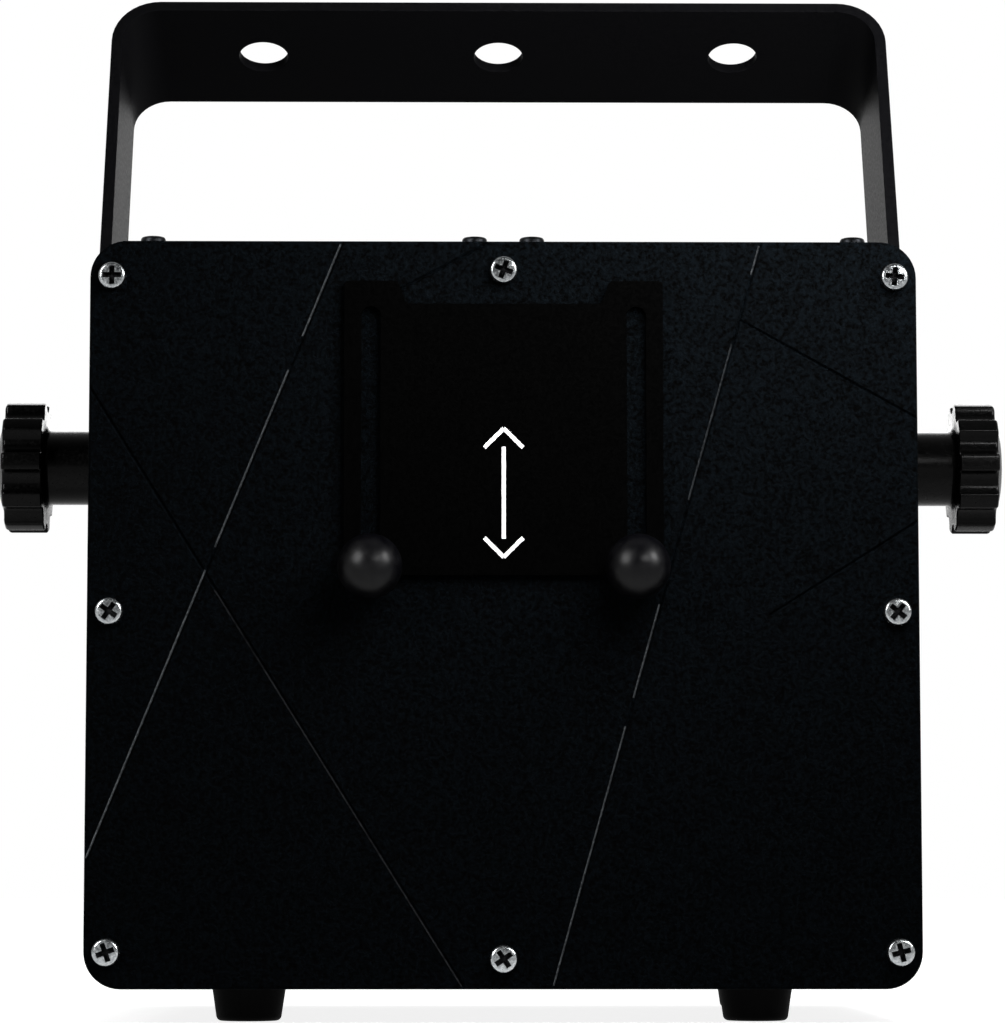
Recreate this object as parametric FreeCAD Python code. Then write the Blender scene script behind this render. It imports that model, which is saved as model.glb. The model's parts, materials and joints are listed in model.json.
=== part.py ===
import FreeCAD, Part
import math
import os

V = FreeCAD.Vector
os.makedirs("parts", exist_ok=True)

# Millimetres. The floor is z = 0 and +Y runs to the rear.
# The front plate's face is y = 0 until the last move.

# Cuts, and blocks that are joined, run this far past the faces that they meet
past = 1.0

# Front plate
plate_width = 180.0
plate_height = 162.0
plate_thick = 3.0
plate_corner = 8.0
plate_edge = 0.6
groove_width = 0.9
groove_depth = 0.45

# Folded shell
body_depth = 140.0
shell_inset = 1.0
sheet = 1.5
plate_flange = 12.0
cover_flange = 18.0
cover_skirt = 12.0
cover_lap = 8.0
lid_clear = 0.2
cleat_half = 14.0
cleat_leg = 15.0
vent_width = 3.0
vent_height = 34.0
vent_pitch = 7.0
vent_count = 9
vent_sill = 26.0

# Feet
foot_height = 7.3
foot_top_radius = 8.1
foot_sole_radius = 7.0
foot_sole_round = 1.2
front_foot_x = 55.6
rear_foot_x = 61.5
foot_inset = 22.0
foot_recess_radius = 3.6
foot_recess_depth = 4.4

# Screws
screw_radius = 1.5
screw_clear = 0.1
screw_head_radius = 2.8
screw_head_height = 2.2
screw_head_round = 1.4
plate_head_radius = 3.0
screw_length = 8.0
corner_screw_side = 4.9
corner_screw_end = 7.9
middle_screw_end = 6.5
cover_screw_side = 12.0
cleat_screw_x = 6.3
cover_screw_inset = 9.0

# Bracket and its pivots
pivot_depth = 60.0
pivot_height = 118.7
bracket_tilt = 24.0
bracket_reach = 120.5
bracket_strip = 38.0
bracket_thick = 2.7
bracket_bend = 11.5
bracket_hole_radius = 6.0
bracket_hole_pitch = 58.0
washer_thick = 2.0
washer_radius = 10.0
face_gap = 0.1

# Clamp knobs
stud_radius = 2.95
stud_clear = 0.05
stud_setback = 1.0
hub_radius = 8.6
hub_length = 11.3
head_radius = 15.2
head_rim = 9.2
head_dome = 1.8
dome_knee_radius = 8.4
dome_knee_rise = 1.4
head_chamfer = 0.8
head_inner_chamfer = 0.3
hub_chamfer = 0.6
hub_flare = 1.2
flute_count = 10
flute_radius = 3.2
flute_depth = 2.1
insert_flange_radius = 5.0
insert_flange_thick = 0.8
insert_barrel_radius = 4.3
insert_length = 13.0
insert_swell = 1.0
insert_swell_start = 3.0
insert_swell_end = 4.0
insert_room = 0.5

# Shutter, ball knobs and aperture
shutter_thick = 1.5
shutter_half = 34.6
shutter_drop = 1.5
slot_top_wall = 0.6
shutter_ear = 5.0
shutter_ear_inner = 23.0
shutter_ear_slant = 1.8
shutter_lap = 7.5
slot_x = 28.8
slot_half = 2.1
slot_lug = 5.2
ball_stud_height = 90.3
ball_radius = 7.0
ball_flat = 4.4
ball_stud_radius = 1.95
nut_radius = 3.8
nut_length = 4.0
aperture_width = 40.0
aperture_height = 34.0
aperture_centre = 123.5
aperture_corner = 4.0
window_thick = 2.0
window_lap = 2.0
frame_wall = 2.0
frame_lip = 1.5

# Optics shelf
bench_thick = 4.0
bench_side_gap = 3.5
bench_front = 12.0
bench_back = 107.0
rail_leg = 14.0
rail_inset = 3.0
beam_rise = 15.5
scan_step = 12.0
scan_depth = 22.0
laser_width = 14.0
laser_height = 25.0
laser_pitch = 16.0
laser_gap = 2.5
laser_front = 44.0
laser_lengths = {"blue_laser": 46.0, "green_laser": 58.0, "red_laser": 40.0}
barrel_radius = 5.0
barrel_length = 6.0
fin_slot = 1.6
fin_pitch = 4.0
fin_depth = 5.0
mirror_width = 13.0
mirror_height = 14.0
mirror_thick = 1.5
holder_back = 2.5
holder_base = 8.0
holder_hole = 4.0

# Scanner
motor_radius = 6.5
motor_length = 28.0
motor_gap = 8.0
cap_radius = 5.0
cap_length = 4.0
scan_shaft_radius = 1.2
scan_shaft_clear = 0.05
scan_mirror_half = 5.0
scan_mirror_length = 11.0
scan_mirror_thick = 1.0
scan_mirror_gap = 2.0
block_length = 22.0
block_half = 11.0
block_foot = 6.0
block_setback = 4.0

# Circuit boards
board_thick = 1.6
board_gap = 4.0
standoff_radius = 2.6
standoff_height = 6.0
standoff_inset = 5.0
board_front = 16.0
board_length = 84.0
board_side = 8.0
driver_width = 54.0
driver_length = 62.0
driver_side_gap = 3.0
driver_front = 40.0
board_corner = 2.0

# Parts on the boards, placed from the boards' edges
transformer_width = 28.0
transformer_length = 28.0
transformer_height = 26.0
transformer_side = 12.0
transformer_front = 28.0
sink_side = 6.0
sink_thick = 4.0
sink_front = 20.0
sink_length = 42.0
sink_height = 24.0
can_side = 12.0
big_can_radius = 9.0
big_can_height = 28.0
big_can_front = 16.0
middle_can_radius = 6.5
middle_can_height = 20.0
middle_can_front = 40.0
small_can_radius = 5.0
small_can_height = 16.0
small_can_front = 58.0
processor_side = 22.0
processor_front = 30.0
processor_size = 20.0
processor_height = 2.4
header_side = 10.0
header_length = 40.0
header_depth = 8.0
header_back = 12.0
header_height = 9.0
relay_side = 16.0
relay_width = 10.0
relay_front = 20.0
relay_length = 40.0
relay_height = 8.0
main_can_side = 16.0
main_can_front = 18.0
main_can_height = 12.0
amp_sink_side = 14.0
amp_sink_length = 26.0
amp_sink_front = 14.0
amp_sink_height = 14.0
amp_side = 12.0
amp_pitch = 18.0
amp_front = 28.0
amp_size = 10.0
amp_height = 3.0
driver_can_side = 14.0
driver_can_pitch = 13.0
driver_can_back = 14.0
driver_can_radius = 4.0
driver_can_height = 11.0

# Rear panel places, as heights above the plate's lower edge
socket_row = 32.0
inlet_side_gap = 3.5
interlock_side_gap = 3.0
middle_row = 68.0
key_side_gap = 8.2
key_pitch = 30.0

# Fan
fan_side_gap = 1.5
fan_height = 95.0
fan_size = 60.0
fan_depth = 15.0
fan_corner = 4.0
fan_duct_radius = 28.4
fan_hole_half = 25.0
fan_hub_radius = 13.0
fan_hub_round = 1.5
fan_blade_root = 2.0
fan_tip_gap = 0.9
fan_blades = 7
fan_blade_thick = 1.2
fan_root_angle = 52.0
fan_tip_angle = 32.0
fan_strut = 3.0
fan_strut_count = 3
fan_strut_turn = 30.0
fan_end_gap = 1.0
spindle_radius = 1.5
spindle_clear = 0.05
guard_wire = 1.8
guard_rings = 4
guard_pitch = 6.4
guard_eye_radius = 4.2

# Mains inlet
inlet_flange_width = 50.0
inlet_flange_height = 34.0
inlet_flange_thick = 2.5
socket_corner = 3.0
inlet_body_width = 28.0
inlet_body_height = 31.0
inlet_body_depth = 26.0
inlet_mouth_width = 24.0
inlet_mouth_height = 16.0
inlet_mouth_depth = 17.0
inlet_mouth_rise = 6.0
inlet_mouth_slope = 5.3
inlet_screw_x = 20.0
inlet_pin_length = 11.0
inlet_pin_pitch = 7.0
inlet_pin_drop = 2.0
inlet_earth_rise = 2.5
inlet_pin_half = 1.0
inlet_pin_half_tall = 2.0
drawer_width = 22.0
drawer_height = 8.0
drawer_drop = 9.5
drawer_depth = 20.0
drawer_clear = 0.3
drawer_face = 1.6
drawer_wall = 1.8
drawer_grip_half = 4.0
drawer_grip_half_tall = 1.2
drawer_travel = 16.0

# Round sockets
dmx_flange_width = 26.0
dmx_flange_height = 31.0
dmx_flange_thick = 2.5
dmx_barrel_radius = 11.7
dmx_barrel_depth = 20.0
dmx_cup_radius = 9.6
dmx_cup_depth = 16.0
dmx_screw_x = 9.5
dmx_screw_z = 12.0
dmx_pin_radius = 1.2
dmx_pin_circle = 4.0
dmx_pin_length = 11.0
dmx_insert_radius = 7.6
dmx_insert_setback = 1.0
dmx_pin_clear = 0.2
jack_hole_radius = 3.3
jack_nut_radius = 7.0
jack_nut_thick = 3.0
jack_barrel_radius = 5.5
jack_depth = 18.0
jack_back_wall = 3.0

# Key switch
lock_radius = 9.3
lock_depth = 26.0
lock_bezel_radius = 11.5
lock_bezel = 3.0
lock_bezel_round = 1.0
plug_radius = 6.0
plug_clear = 0.05
plug_depth = 18.0
plug_proud = 0.4
key_bow_radius = 10.0
key_reach = 21.0
key_thick = 2.2
key_stem_half = 4.2
key_ring_hole = 3.0

# Control panel
control_half = 32.0
control_foot = 90.0
control_head = 134.0
control_gap = 11.5
display_height = 121.0
display_width = 40.0
display_tall = 15.0
display_margin = 2.5
window_pane = 1.5
pane_corner = 1.5
display_corner = 1.0
button_row = 101.0
button_pitch = 12.0
button_count = 4
button_radius = 3.5
button_clear = 0.3
button_proud = 2.5
button_round = 0.6
button_collar = 4.8
button_collar_thick = 1.5
button_stem = 1.5
button_travel = 0.8
switch_half = 3.5
switch_height = 5.0
switch_well = 1.8

# Sound sensitivity control
pot_radius = 8.0
pot_depth = 9.0
pot_shaft_radius = 3.0
pot_shaft_clear = 0.05
pot_knob_radius = 6.5
pot_knob_tip_radius = 5.7
pot_knob_length = 11.0
pot_knob_round = 0.8
pot_bush_radius = 4.6
pot_bush_proud = 0.4
pot_back_wall = 2.0
pot_mark_half = 0.5
pot_mark_depth = 0.6
pot_mark_start = 1.0

# Safety eye
eye_height = 147.0
eye_rod_radius = 2.0
eye_half = 8.0
eye_leg = 7.0
eye_base_radius = 5.0
eye_base_corner = 4.9
eye_base_half = 13.0
eye_base_thick = 2.0

# Worked out from the sizes above
half_plate = plate_width / 2
half_shell = half_plate - shell_inset
half_inside = half_shell - sheet
base_z = foot_height
top_z = base_z + plate_height
floor_z = base_z + sheet
cover_z = top_z - sheet
flange_z = cover_z - sheet
skirt_z = top_z - cover_skirt
shell_bend = plate_corner - shell_inset
shell_front = plate_thick
shell_back = body_depth - sheet
flange_front = shell_front + sheet
flange_back = shell_back - sheet
screw_hole = screw_radius + screw_clear
cover_screw_x = half_shell - cover_screw_side
arm_inner = half_shell + washer_thick + face_gap
arm_outer = arm_inner + bracket_thick
pivot_z = base_z + pivot_height
insert_bulge = insert_barrel_radius + insert_swell
insert_end = half_shell - insert_length - insert_room
insert_room_radius = insert_bulge + insert_room
stud_z = base_z + ball_stud_height
aperture_z = base_z + aperture_centre
bench_z = aperture_z - scan_step - beam_rise - bench_thick
bench_top = bench_z + bench_thick
beam_z = bench_top + beam_rise
scan_z = beam_z + scan_step
shutter_face = -face_gap - shutter_thick
shutter_top = aperture_z + aperture_height / 2 + shutter_lap
shutter_travel = shutter_top - slot_top_wall - slot_half - stud_z
ball_seat = math.sqrt(ball_radius ** 2 - ball_flat ** 2)
ball_y = shutter_face - face_gap - ball_seat
front_reach = ball_y - ball_radius
rear_reach = body_depth + lock_bezel + key_reach
inner_edge = half_inside - plate_flange
fan_x = inner_edge - fan_side_gap - fan_size / 2
inlet_x = inner_edge - inlet_side_gap - inlet_screw_x
interlock_x = jack_barrel_radius + interlock_side_gap - inner_edge
key_x = lock_radius + key_side_gap - inner_edge
pot_x = key_x + key_pitch
socket_gap = (inlet_x - inlet_flange_width / 2 - interlock_x - jack_nut_radius - 2 * dmx_flange_width) / 3
dmx_out_x = interlock_x + jack_nut_radius + socket_gap + dmx_flange_width / 2
dmx_in_x = dmx_out_x + dmx_flange_width + socket_gap
control_x = (fan_x - fan_size / 2 - half_inside) / 2
middle_y = (front_reach + rear_reach) / 2

pieces = {}


def box(x0, x1, y0, y1, z0, z1):
    return Part.makeBox(x1 - x0, y1 - y0, z1 - z0, V(x0, y0, z0))


def rod_x(x0, x1, y, z, radius):
    return Part.makeCylinder(radius, x1 - x0, V(x0, y, z), V(1, 0, 0))


def rod_y(x, z, y0, y1, radius):
    return Part.makeCylinder(radius, y1 - y0, V(x, y0, z), V(0, 1, 0))


def rod_z(x, y, z0, z1, radius):
    return Part.makeCylinder(radius, z1 - z0, V(x, y, z0), V(0, 0, 1))


def edges_along(shape, axis):
    found = []
    for edge in shape.Edges:
        if isinstance(edge.Curve, Part.Line) and abs(edge.tangentAt(edge.FirstParameter).dot(axis)) > 0.999:
            found.append(edge)
    return found


def rounded(shape, axis, radius):
    return shape.makeFillet(radius, edges_along(shape, axis))


def circles(shape):
    return [edge for edge in shape.Edges if isinstance(edge.Curve, Part.Circle)]


def prism(points, travel):
    corners = [V(*p) for p in points]
    return Part.Face(Part.makePolygon(corners + corners[:1])).extrude(V(*travel))


def turned(profile, origin, axis):
    # The profile is pairs of (radius, distance along the axis), turned about the axis.
    corners = [V(r, 0, h) for r, h in profile]
    face = Part.Face(Part.makePolygon(corners + corners[:1]))
    solid = face.revolve(V(0, 0, 0), V(0, 0, 1), 360)
    solid.Placement = FreeCAD.Placement(origin, FreeCAD.Rotation(V(0, 0, 1), axis))
    return solid


def aimed(shape, origin, axis):
    moved = shape.copy()
    moved.Placement = FreeCAD.Placement(origin, FreeCAD.Rotation(V(0, 0, 1), axis))
    return moved


def joined(first, others):
    return first.fuse(others).removeSplitter()


def pan_screw(origin, axis, length, head_radius=screw_head_radius):
    # A domed head on its seat, with the shank going the other way from the axis.
    head = Part.makeCylinder(head_radius, screw_head_height)
    rim = [e for e in circles(head) if e.BoundBox.ZMin > screw_head_height / 2]
    head = head.makeFillet(screw_head_round, rim)
    shank = Part.makeCylinder(screw_radius, length, V(0, 0, -length))
    return aimed(joined(head, [shank]), origin, axis)


def slot_through_x(x0, x1, y, z0, z1, radius):
    ends = [rod_x(x0, x1, y, z, radius) for z in (z0 + radius, z1 - radius)]
    return joined(box(x0, x1, y - radius, y + radius, z0 + radius, z1 - radius), ends)


def slot_through_y(x, y0, y1, z0, z1, radius):
    ends = [rod_y(x, z, y0, y1, radius) for z in (z0, z1)]
    return joined(box(x - radius, x + radius, y0, y1, z0, z1), ends)


def rounded_block_y(x, z, width, height, y0, y1, radius):
    block = box(x - width / 2, x + width / 2, y0, y1, z - height / 2, z + height / 2)
    return rounded(block, V(0, 1, 0), radius)


# Screw places shared by the front plate and the rear panel, as (x, z)
corner_x = half_plate - corner_screw_side
plate_screws = []
for side in (-1, 1):
    for height in (base_z + corner_screw_end, base_z + plate_height / 2, top_z - corner_screw_end):
        plate_screws.append((side * corner_x, height))
plate_screws.append((0, base_z + middle_screw_end))
plate_screws.append((0, top_z - middle_screw_end))

# Cover screw places, as (x, y)
cover_screws = []
for x in (-cover_screw_x, -cleat_screw_x, cleat_screw_x, cover_screw_x):
    for y in (cover_screw_inset, body_depth - cover_screw_inset):
        cover_screws.append((x, y))

# Foot places, as (x, y); the rear pair stands wider
feet_places = []
for side in (-1, 1):
    feet_places.append((side * front_foot_x, foot_inset))
    feet_places.append((side * rear_foot_x, body_depth - foot_inset))

# Straight lines scored into the front plate, as (x, height) pairs that run out over the plate's edges
scored_lines = [
    ((-35.0, plate_height), (-half_plate, 26.5)),
    ((-half_plate, 130.0), (-8.3, 0.0)),
    ((56.2, plate_height), (10.7, 0.0)),
    ((51.4, 144.7), (half_plate, 123.1)),
    ((half_plate, 100.8), (57.6, 80.3)),
    ((-2.6, plate_height), (-30.0, 147.4)),
]


def score(start, end):
    a = V(start[0], 0, base_z + start[1])
    b = V(end[0], 0, base_z + end[1])
    along = (b - a).normalize()
    across = along.cross(V(0, 1, 0)) * groove_width
    lift = V(0, -groove_depth, 0)
    tip = V(0, groove_depth, 0)
    corners = [a + across + lift, a - across + lift, a + tip]
    return Part.Face(Part.makePolygon(corners + corners[:1])).extrude(b - a)


def make_front_plate():
    plate = box(-half_plate, half_plate, 0, plate_thick, base_z, top_z)
    plate = rounded(plate, V(0, 1, 0), plate_corner)
    rim = [e for e in plate.Edges if e.BoundBox.YMax < plate_thick / 2]
    plate = plate.makeFillet(plate_edge, rim)
    cuts = [score(a, b) for a, b in scored_lines]
    cuts.append(rounded_block_y(0, aperture_z, aperture_width, aperture_height,
                                -past, plate_thick + past, aperture_corner))
    for x, z in plate_screws:
        cuts.append(rod_y(x, z, -past, plate_thick + past, screw_hole))
    for side in (-1, 1):
        cuts.append(rod_y(side * slot_x, stud_z, -past, plate_thick + past, ball_stud_radius + stud_clear))
    return plate.cut(cuts)


def make_window():
    width = aperture_width + 2 * window_lap
    height = aperture_height + 2 * window_lap
    back = plate_thick + window_thick
    pane = rounded_block_y(0, aperture_z, width, height, plate_thick, back, aperture_corner)
    outer = rounded_block_y(0, aperture_z, width + 2 * frame_wall, height + 2 * frame_wall,
                            plate_thick, back + frame_lip, aperture_corner + frame_wall)
    view = rounded_block_y(0, aperture_z, aperture_width, aperture_height,
                           plate_thick, back + 2 * frame_lip, aperture_corner)
    pieces["aperture_window"] = pane
    pieces["window_frame"] = outer.cut([pane, view])


def folded(half, y0, y1, z0, z1, radius, level):
    # A block along Y whose two long edges at one level are rounded.
    block = box(-half, half, y0, y1, z0, z1)
    rim = [e for e in edges_along(block, V(0, 1, 0)) if abs(e.BoundBox.ZMin - level) < face_gap]
    return block.makeFillet(radius, rim)


def make_base_tray():
    # A trough with flanges at its ends; a strip inside each wall carries the cover's flange past the joint.
    front = shell_front - past
    back = shell_back + past
    lining = half_inside - lid_clear
    lap_z = skirt_z - cover_lap
    trough = folded(half_shell, shell_front, shell_back, base_z, skirt_z, shell_bend, base_z)
    hollow = folded(half_inside, front, back, floor_z, skirt_z + past, shell_bend - sheet, floor_z)
    arch = folded(lining, shell_front, shell_back, lap_z, cover_z, shell_bend - sheet, cover_z)
    under = folded(lining - sheet, front, back, lap_z - past, flange_z, shell_bend - 2 * sheet, flange_z)
    hatch_half = half_shell - cover_flange
    hatch = box(-hatch_half, hatch_half, front, back, flange_z - past, cover_z + past)
    walls = [arch.cut([under, hatch])]
    for side in (-1, 1):
        x0, x1 = sorted((side * (lining - sheet), side * half_inside))
        walls.append(box(x0, x1, shell_front, shell_back, lap_z, skirt_z))
    outline = joined(trough, [arch])
    opening = half_inside - plate_flange
    for y0, y1 in ((shell_front, flange_front), (flange_back, shell_back)):
        slab = box(-half_shell, half_shell, y0, y1, base_z, cover_z)
        mouth = box(-opening, opening, y0 - past, y1 + past, floor_z + plate_flange, cover_z + past)
        walls.append(outline.common(slab).cut(mouth))
    tray = joined(trough.cut(hollow), walls)
    cuts = []
    for x, z in plate_screws:
        cuts.append(rod_y(x, z, front, screw_length + past, screw_hole))
        cuts.append(rod_y(x, z, body_depth - screw_length - past, back, screw_hole))
    for x, y in cover_screws:
        cuts.append(rod_z(x, y, flange_z - past, cover_z + past, screw_hole))
    for x, y in feet_places:
        cuts.append(rod_z(x, y, base_z - past, floor_z + past, screw_hole))
    vent_middle = (shell_front + shell_back) / 2
    vent_z = base_z + vent_sill
    for side in (-1, 1):
        x0, x1 = sorted((side * (half_inside - past), side * (half_shell + past)))
        r0, r1 = sorted((side * insert_end, side * half_inside))
        cuts.append(rod_x(x0, x1, pivot_depth, pivot_z, insert_barrel_radius + stud_clear))
        cuts.append(rod_x(r0, r1, pivot_depth, pivot_z, insert_room_radius))
        for i in range(vent_count):
            y = vent_middle + (i - (vent_count - 1) / 2) * vent_pitch
            cuts.append(slot_through_x(x0, x1, y, vent_z, vent_z + vent_height, vent_width / 2))
    return tray.cut(cuts)


def make_top_cover():
    # A lid with its sides turned down, resting on the tray's upper flanges.
    low = skirt_z + lid_clear
    outer = folded(half_shell, shell_front, shell_back, low, top_z, shell_bend, top_z)
    inner = folded(half_inside, shell_front - past, shell_back + past, low - past, cover_z,
                   shell_bend - sheet, cover_z)
    holes = [rod_z(x, y, cover_z - past, top_z + past, screw_hole) for x, y in cover_screws]
    return outer.cut([inner] + holes)


def make_cover_cleats():
    cleats = []
    for y_wall, y_in in ((shell_front, 1), (shell_back, -1)):
        y0, y1 = sorted((y_wall, y_wall + y_in * cleat_leg))
        w0, w1 = sorted((y_wall, y_wall + y_in * sheet))
        flat = box(-cleat_half, cleat_half, y0, y1, flange_z, cover_z)
        upright = box(-cleat_half, cleat_half, w0, w1, cover_z - cleat_leg, cover_z)
        cleat = joined(flat, [upright])
        cuts = [rod_z(x, y, flange_z - past, cover_z + past, screw_hole) for x, y in cover_screws]
        cuts.append(rod_y(0, top_z - middle_screw_end, w0 - past, w1 + past, screw_hole))
        cleats.append(cleat.cut(cuts))
    return Part.makeCompound(cleats)


def make_feet():
    feet = []
    for x, y in feet_places:
        foot = Part.makeCone(foot_sole_radius, foot_top_radius, foot_height, V(x, y, 0))
        sole = [e for e in circles(foot) if e.BoundBox.ZMax < foot_height / 2]
        foot = foot.makeFillet(foot_sole_round, sole)
        feet.append(foot.cut([rod_z(x, y, -past, foot_recess_depth, foot_recess_radius),
                              rod_z(x, y, 0, foot_height + past, screw_hole)]))
    return Part.makeCompound(feet)


def make_shutter():
    z0 = stud_z - shutter_drop
    z1 = shutter_top
    z2 = z1 + shutter_ear
    inner = shutter_ear_inner - shutter_ear_slant
    back = shutter_face + shutter_thick
    slot_top = stud_z + shutter_travel
    outline = [(-shutter_half, z0), (shutter_half, z0), (shutter_half, z2), (shutter_ear_inner, z2),
               (inner, z1), (-inner, z1), (-shutter_ear_inner, z2), (-shutter_half, z2)]
    plate = prism([(x, shutter_face, z) for x, z in outline], (0, shutter_thick, 0))
    lugs = [rod_y(side * slot_x, stud_z, shutter_face, back, slot_lug) for side in (-1, 1)]
    plate = joined(plate, lugs)
    slots = []
    for side in (-1, 1):
        slots.append(slot_through_y(side * slot_x, shutter_face - past, 0, stud_z, slot_top, slot_half))
    return plate.cut(slots)


def make_ball_knob(side):
    x = side * slot_x
    ball = Part.makeSphere(ball_radius, V(x, ball_y, stud_z))
    rear = ball_y + ball_seat
    ball = ball.cut(box(x - ball_radius, x + ball_radius, rear, rear + ball_radius,
                        stud_z - ball_radius, stud_z + ball_radius))
    ball = ball.cut(rod_y(x, stud_z, ball_y, rear + past, ball_stud_radius + stud_clear))
    stud = rod_y(x, stud_z, ball_y, plate_thick + nut_length + face_gap, ball_stud_radius)
    return Part.makeCompound([ball, stud])


def make_bracket():
    top = bracket_reach
    radius = bracket_bend

    def u_face(half, height, r, foot):
        k = r * (1 - math.sqrt(0.5))
        left_arc = Part.Arc(V(-half, 0, height - r), V(-half + k, 0, height - k), V(-half + r, 0, height))
        right_arc = Part.Arc(V(half - r, 0, height), V(half - k, 0, height - k), V(half, 0, height - r))
        edges = [
            Part.LineSegment(V(-half, 0, foot), V(-half, 0, height - r)),
            left_arc,
            Part.LineSegment(V(-half + r, 0, height), V(half - r, 0, height)),
            right_arc,
            Part.LineSegment(V(half, 0, height - r), V(half, 0, foot)),
            Part.LineSegment(V(half, 0, foot), V(-half, 0, foot)),
        ]
        return Part.Face(Part.Wire([e.toShape() for e in edges]))

    half_strip = bracket_strip / 2
    move = V(0, bracket_strip, 0)
    outer = u_face(arm_outer, top, radius, -half_strip).extrude(move)
    inner = u_face(arm_inner, top - bracket_thick, radius - bracket_thick, -half_strip - past).extrude(move)
    strip = outer.cut(inner)
    strip.translate(V(0, -half_strip, 0))
    keep = box(-arm_outer - past, arm_outer + past, -half_strip, half_strip, 0, top + past)
    keep = keep.fuse(rod_x(-arm_outer - past, arm_outer + past, 0, 0, half_strip))
    strip = strip.common(keep)
    cuts = [rod_x(-arm_outer - past, arm_outer + past, 0, 0, stud_radius + stud_clear)]
    for i in (-1, 0, 1):
        x = i * bracket_hole_pitch
        cuts.append(rod_z(x, 0, top - bracket_thick - past, top + past, bracket_hole_radius))
    strip = strip.cut(cuts)
    strip.rotate(V(0, 0, 0), V(1, 0, 0), -bracket_tilt)
    strip.translate(V(0, pivot_depth, pivot_z))
    return strip


def make_clamp_knob(side):
    # Turned about X with its hub against the bracket's arm, then fluted round the head.
    start = arm_outer + face_gap
    neck = hub_length
    rim = neck + head_rim
    bore = stud_radius + stud_clear
    bore_depth = neck + head_rim / 2
    profile = [(0, bore_depth), (bore, bore_depth), (bore, 0),
               (hub_radius - hub_chamfer, 0), (hub_radius, hub_chamfer),
               (hub_radius, neck - hub_flare), (hub_radius + hub_flare, neck),
               (head_radius - head_inner_chamfer, neck), (head_radius, neck + head_inner_chamfer),
               (head_radius, rim - head_chamfer), (head_radius - head_chamfer, rim),
               (dome_knee_radius, rim + dome_knee_rise), (0, rim + head_dome)]
    knob = turned(profile, V(0, 0, 0), V(0, 0, 1))
    flutes = []
    reach = head_radius - flute_depth + flute_radius
    for i in range(flute_count):
        angle = 2 * math.pi * (i + 0.5) / flute_count
        x = reach * math.cos(angle)
        y = reach * math.sin(angle)
        flutes.append(rod_z(x, y, neck - past, rim + head_dome, flute_radius))
    knob = knob.cut(flutes)
    return aimed(knob, V(side * start, pivot_depth, pivot_z), V(side, 0, 0))


def make_knob_stud(side):
    inner = half_shell - insert_length + stud_setback
    outer = arm_outer + face_gap + hub_length + head_rim / 2
    x0, x1 = sorted((side * inner, side * outer))
    return rod_x(x0, x1, pivot_depth, pivot_z, stud_radius)


def make_inserts():
    # Rivet nuts in the shell's sides and clinch nuts behind the front plate.
    inserts = []
    bore = stud_radius + stud_clear
    barrel = insert_barrel_radius
    profile = [(bore, -insert_length), (barrel, -insert_length), (barrel, -sheet - insert_swell_end),
               (insert_bulge, -sheet - insert_swell_start), (insert_bulge, -sheet), (barrel, -sheet),
               (barrel, 0), (insert_flange_radius, 0), (insert_flange_radius, insert_flange_thick),
               (bore, insert_flange_thick)]
    nut_back = plate_thick + nut_length
    for side in (-1, 1):
        inserts.append(turned(profile, V(side * half_shell, pivot_depth, pivot_z), V(side, 0, 0)))
        nut = rod_y(side * slot_x, stud_z, plate_thick, nut_back, nut_radius)
        thread = rod_y(side * slot_x, stud_z, 0, nut_back + past, ball_stud_radius + stud_clear)
        inserts.append(nut.cut(thread))
    return Part.makeCompound(inserts)


def make_washers():
    washers = []
    for side in (-1, 1):
        x0, x1 = sorted((side * half_shell, side * (half_shell + washer_thick)))
        ring = rod_x(x0, x1, pivot_depth, pivot_z, washer_radius)
        hole = rod_x(x0 - past, x1 + past, pivot_depth, pivot_z, insert_flange_radius + face_gap)
        washers.append(ring.cut(hole))
    return Part.makeCompound(washers)


bench_half = half_inside - bench_side_gap
first_laser_x = -(block_half + laser_gap + laser_width / 2)
driver_left = bench_half - driver_side_gap - driver_width
rail_front = bench_front + rail_inset
rail_back = bench_back - rail_inset
rail_shelf = half_inside - rail_leg
bench_screw_x = (bench_half + rail_shelf) / 2
bench_screw_rows = (rail_front + rail_leg, rail_back - rail_leg)
bench_screws = [(s * bench_screw_x, y) for s in (-1, 1) for y in bench_screw_rows]


def make_bench():
    plate = box(-bench_half, bench_half, bench_front, bench_back, bench_z, bench_top)
    plate = rounded(plate, V(0, 0, 1), bench_side_gap)
    notches = [rod_x(-half_shell, -insert_end, pivot_depth, pivot_z, insert_room_radius),
               rod_x(insert_end, half_shell, pivot_depth, pivot_z, insert_room_radius)]
    holes = [rod_z(x, y, bench_z - past, bench_top + past, screw_hole) for x, y in bench_screws]
    pieces["bench_plate"] = plate.cut(holes + notches)
    rails = []
    for side in (-1, 1):
        x0, x1 = sorted((side * rail_shelf, side * half_inside))
        w0, w1 = sorted((side * (half_inside - sheet), side * half_inside))
        rail = joined(box(x0, x1, rail_front, rail_back, bench_z - sheet, bench_z),
                      [box(w0, w1, rail_front, rail_back, bench_z - rail_leg, bench_z)])
        holes = [rod_z(x, y, bench_z - sheet - past, bench_z + past, screw_hole) for x, y in bench_screws]
        rails.append(rail.cut(holes + notches))
    pieces["bench_rails"] = Part.makeCompound(rails)


def make_laser(x, length):
    # A finned block with a collimator barrel that points at its mirror.
    back = laser_front + length
    top = bench_top + laser_height
    body = box(x - laser_width / 2, x + laser_width / 2, laser_front, back, bench_top, top)
    cuts = []
    y = laser_front + fin_pitch
    while y < back - fin_pitch:
        cuts.append(box(x - laser_width, x + laser_width, y, y + fin_slot, top - fin_depth, top + past))
        y += fin_pitch
    body = body.cut(cuts)
    return joined(body, [rod_y(x, beam_z, laser_front - barrel_length, laser_front + past, barrel_radius)])


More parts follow.
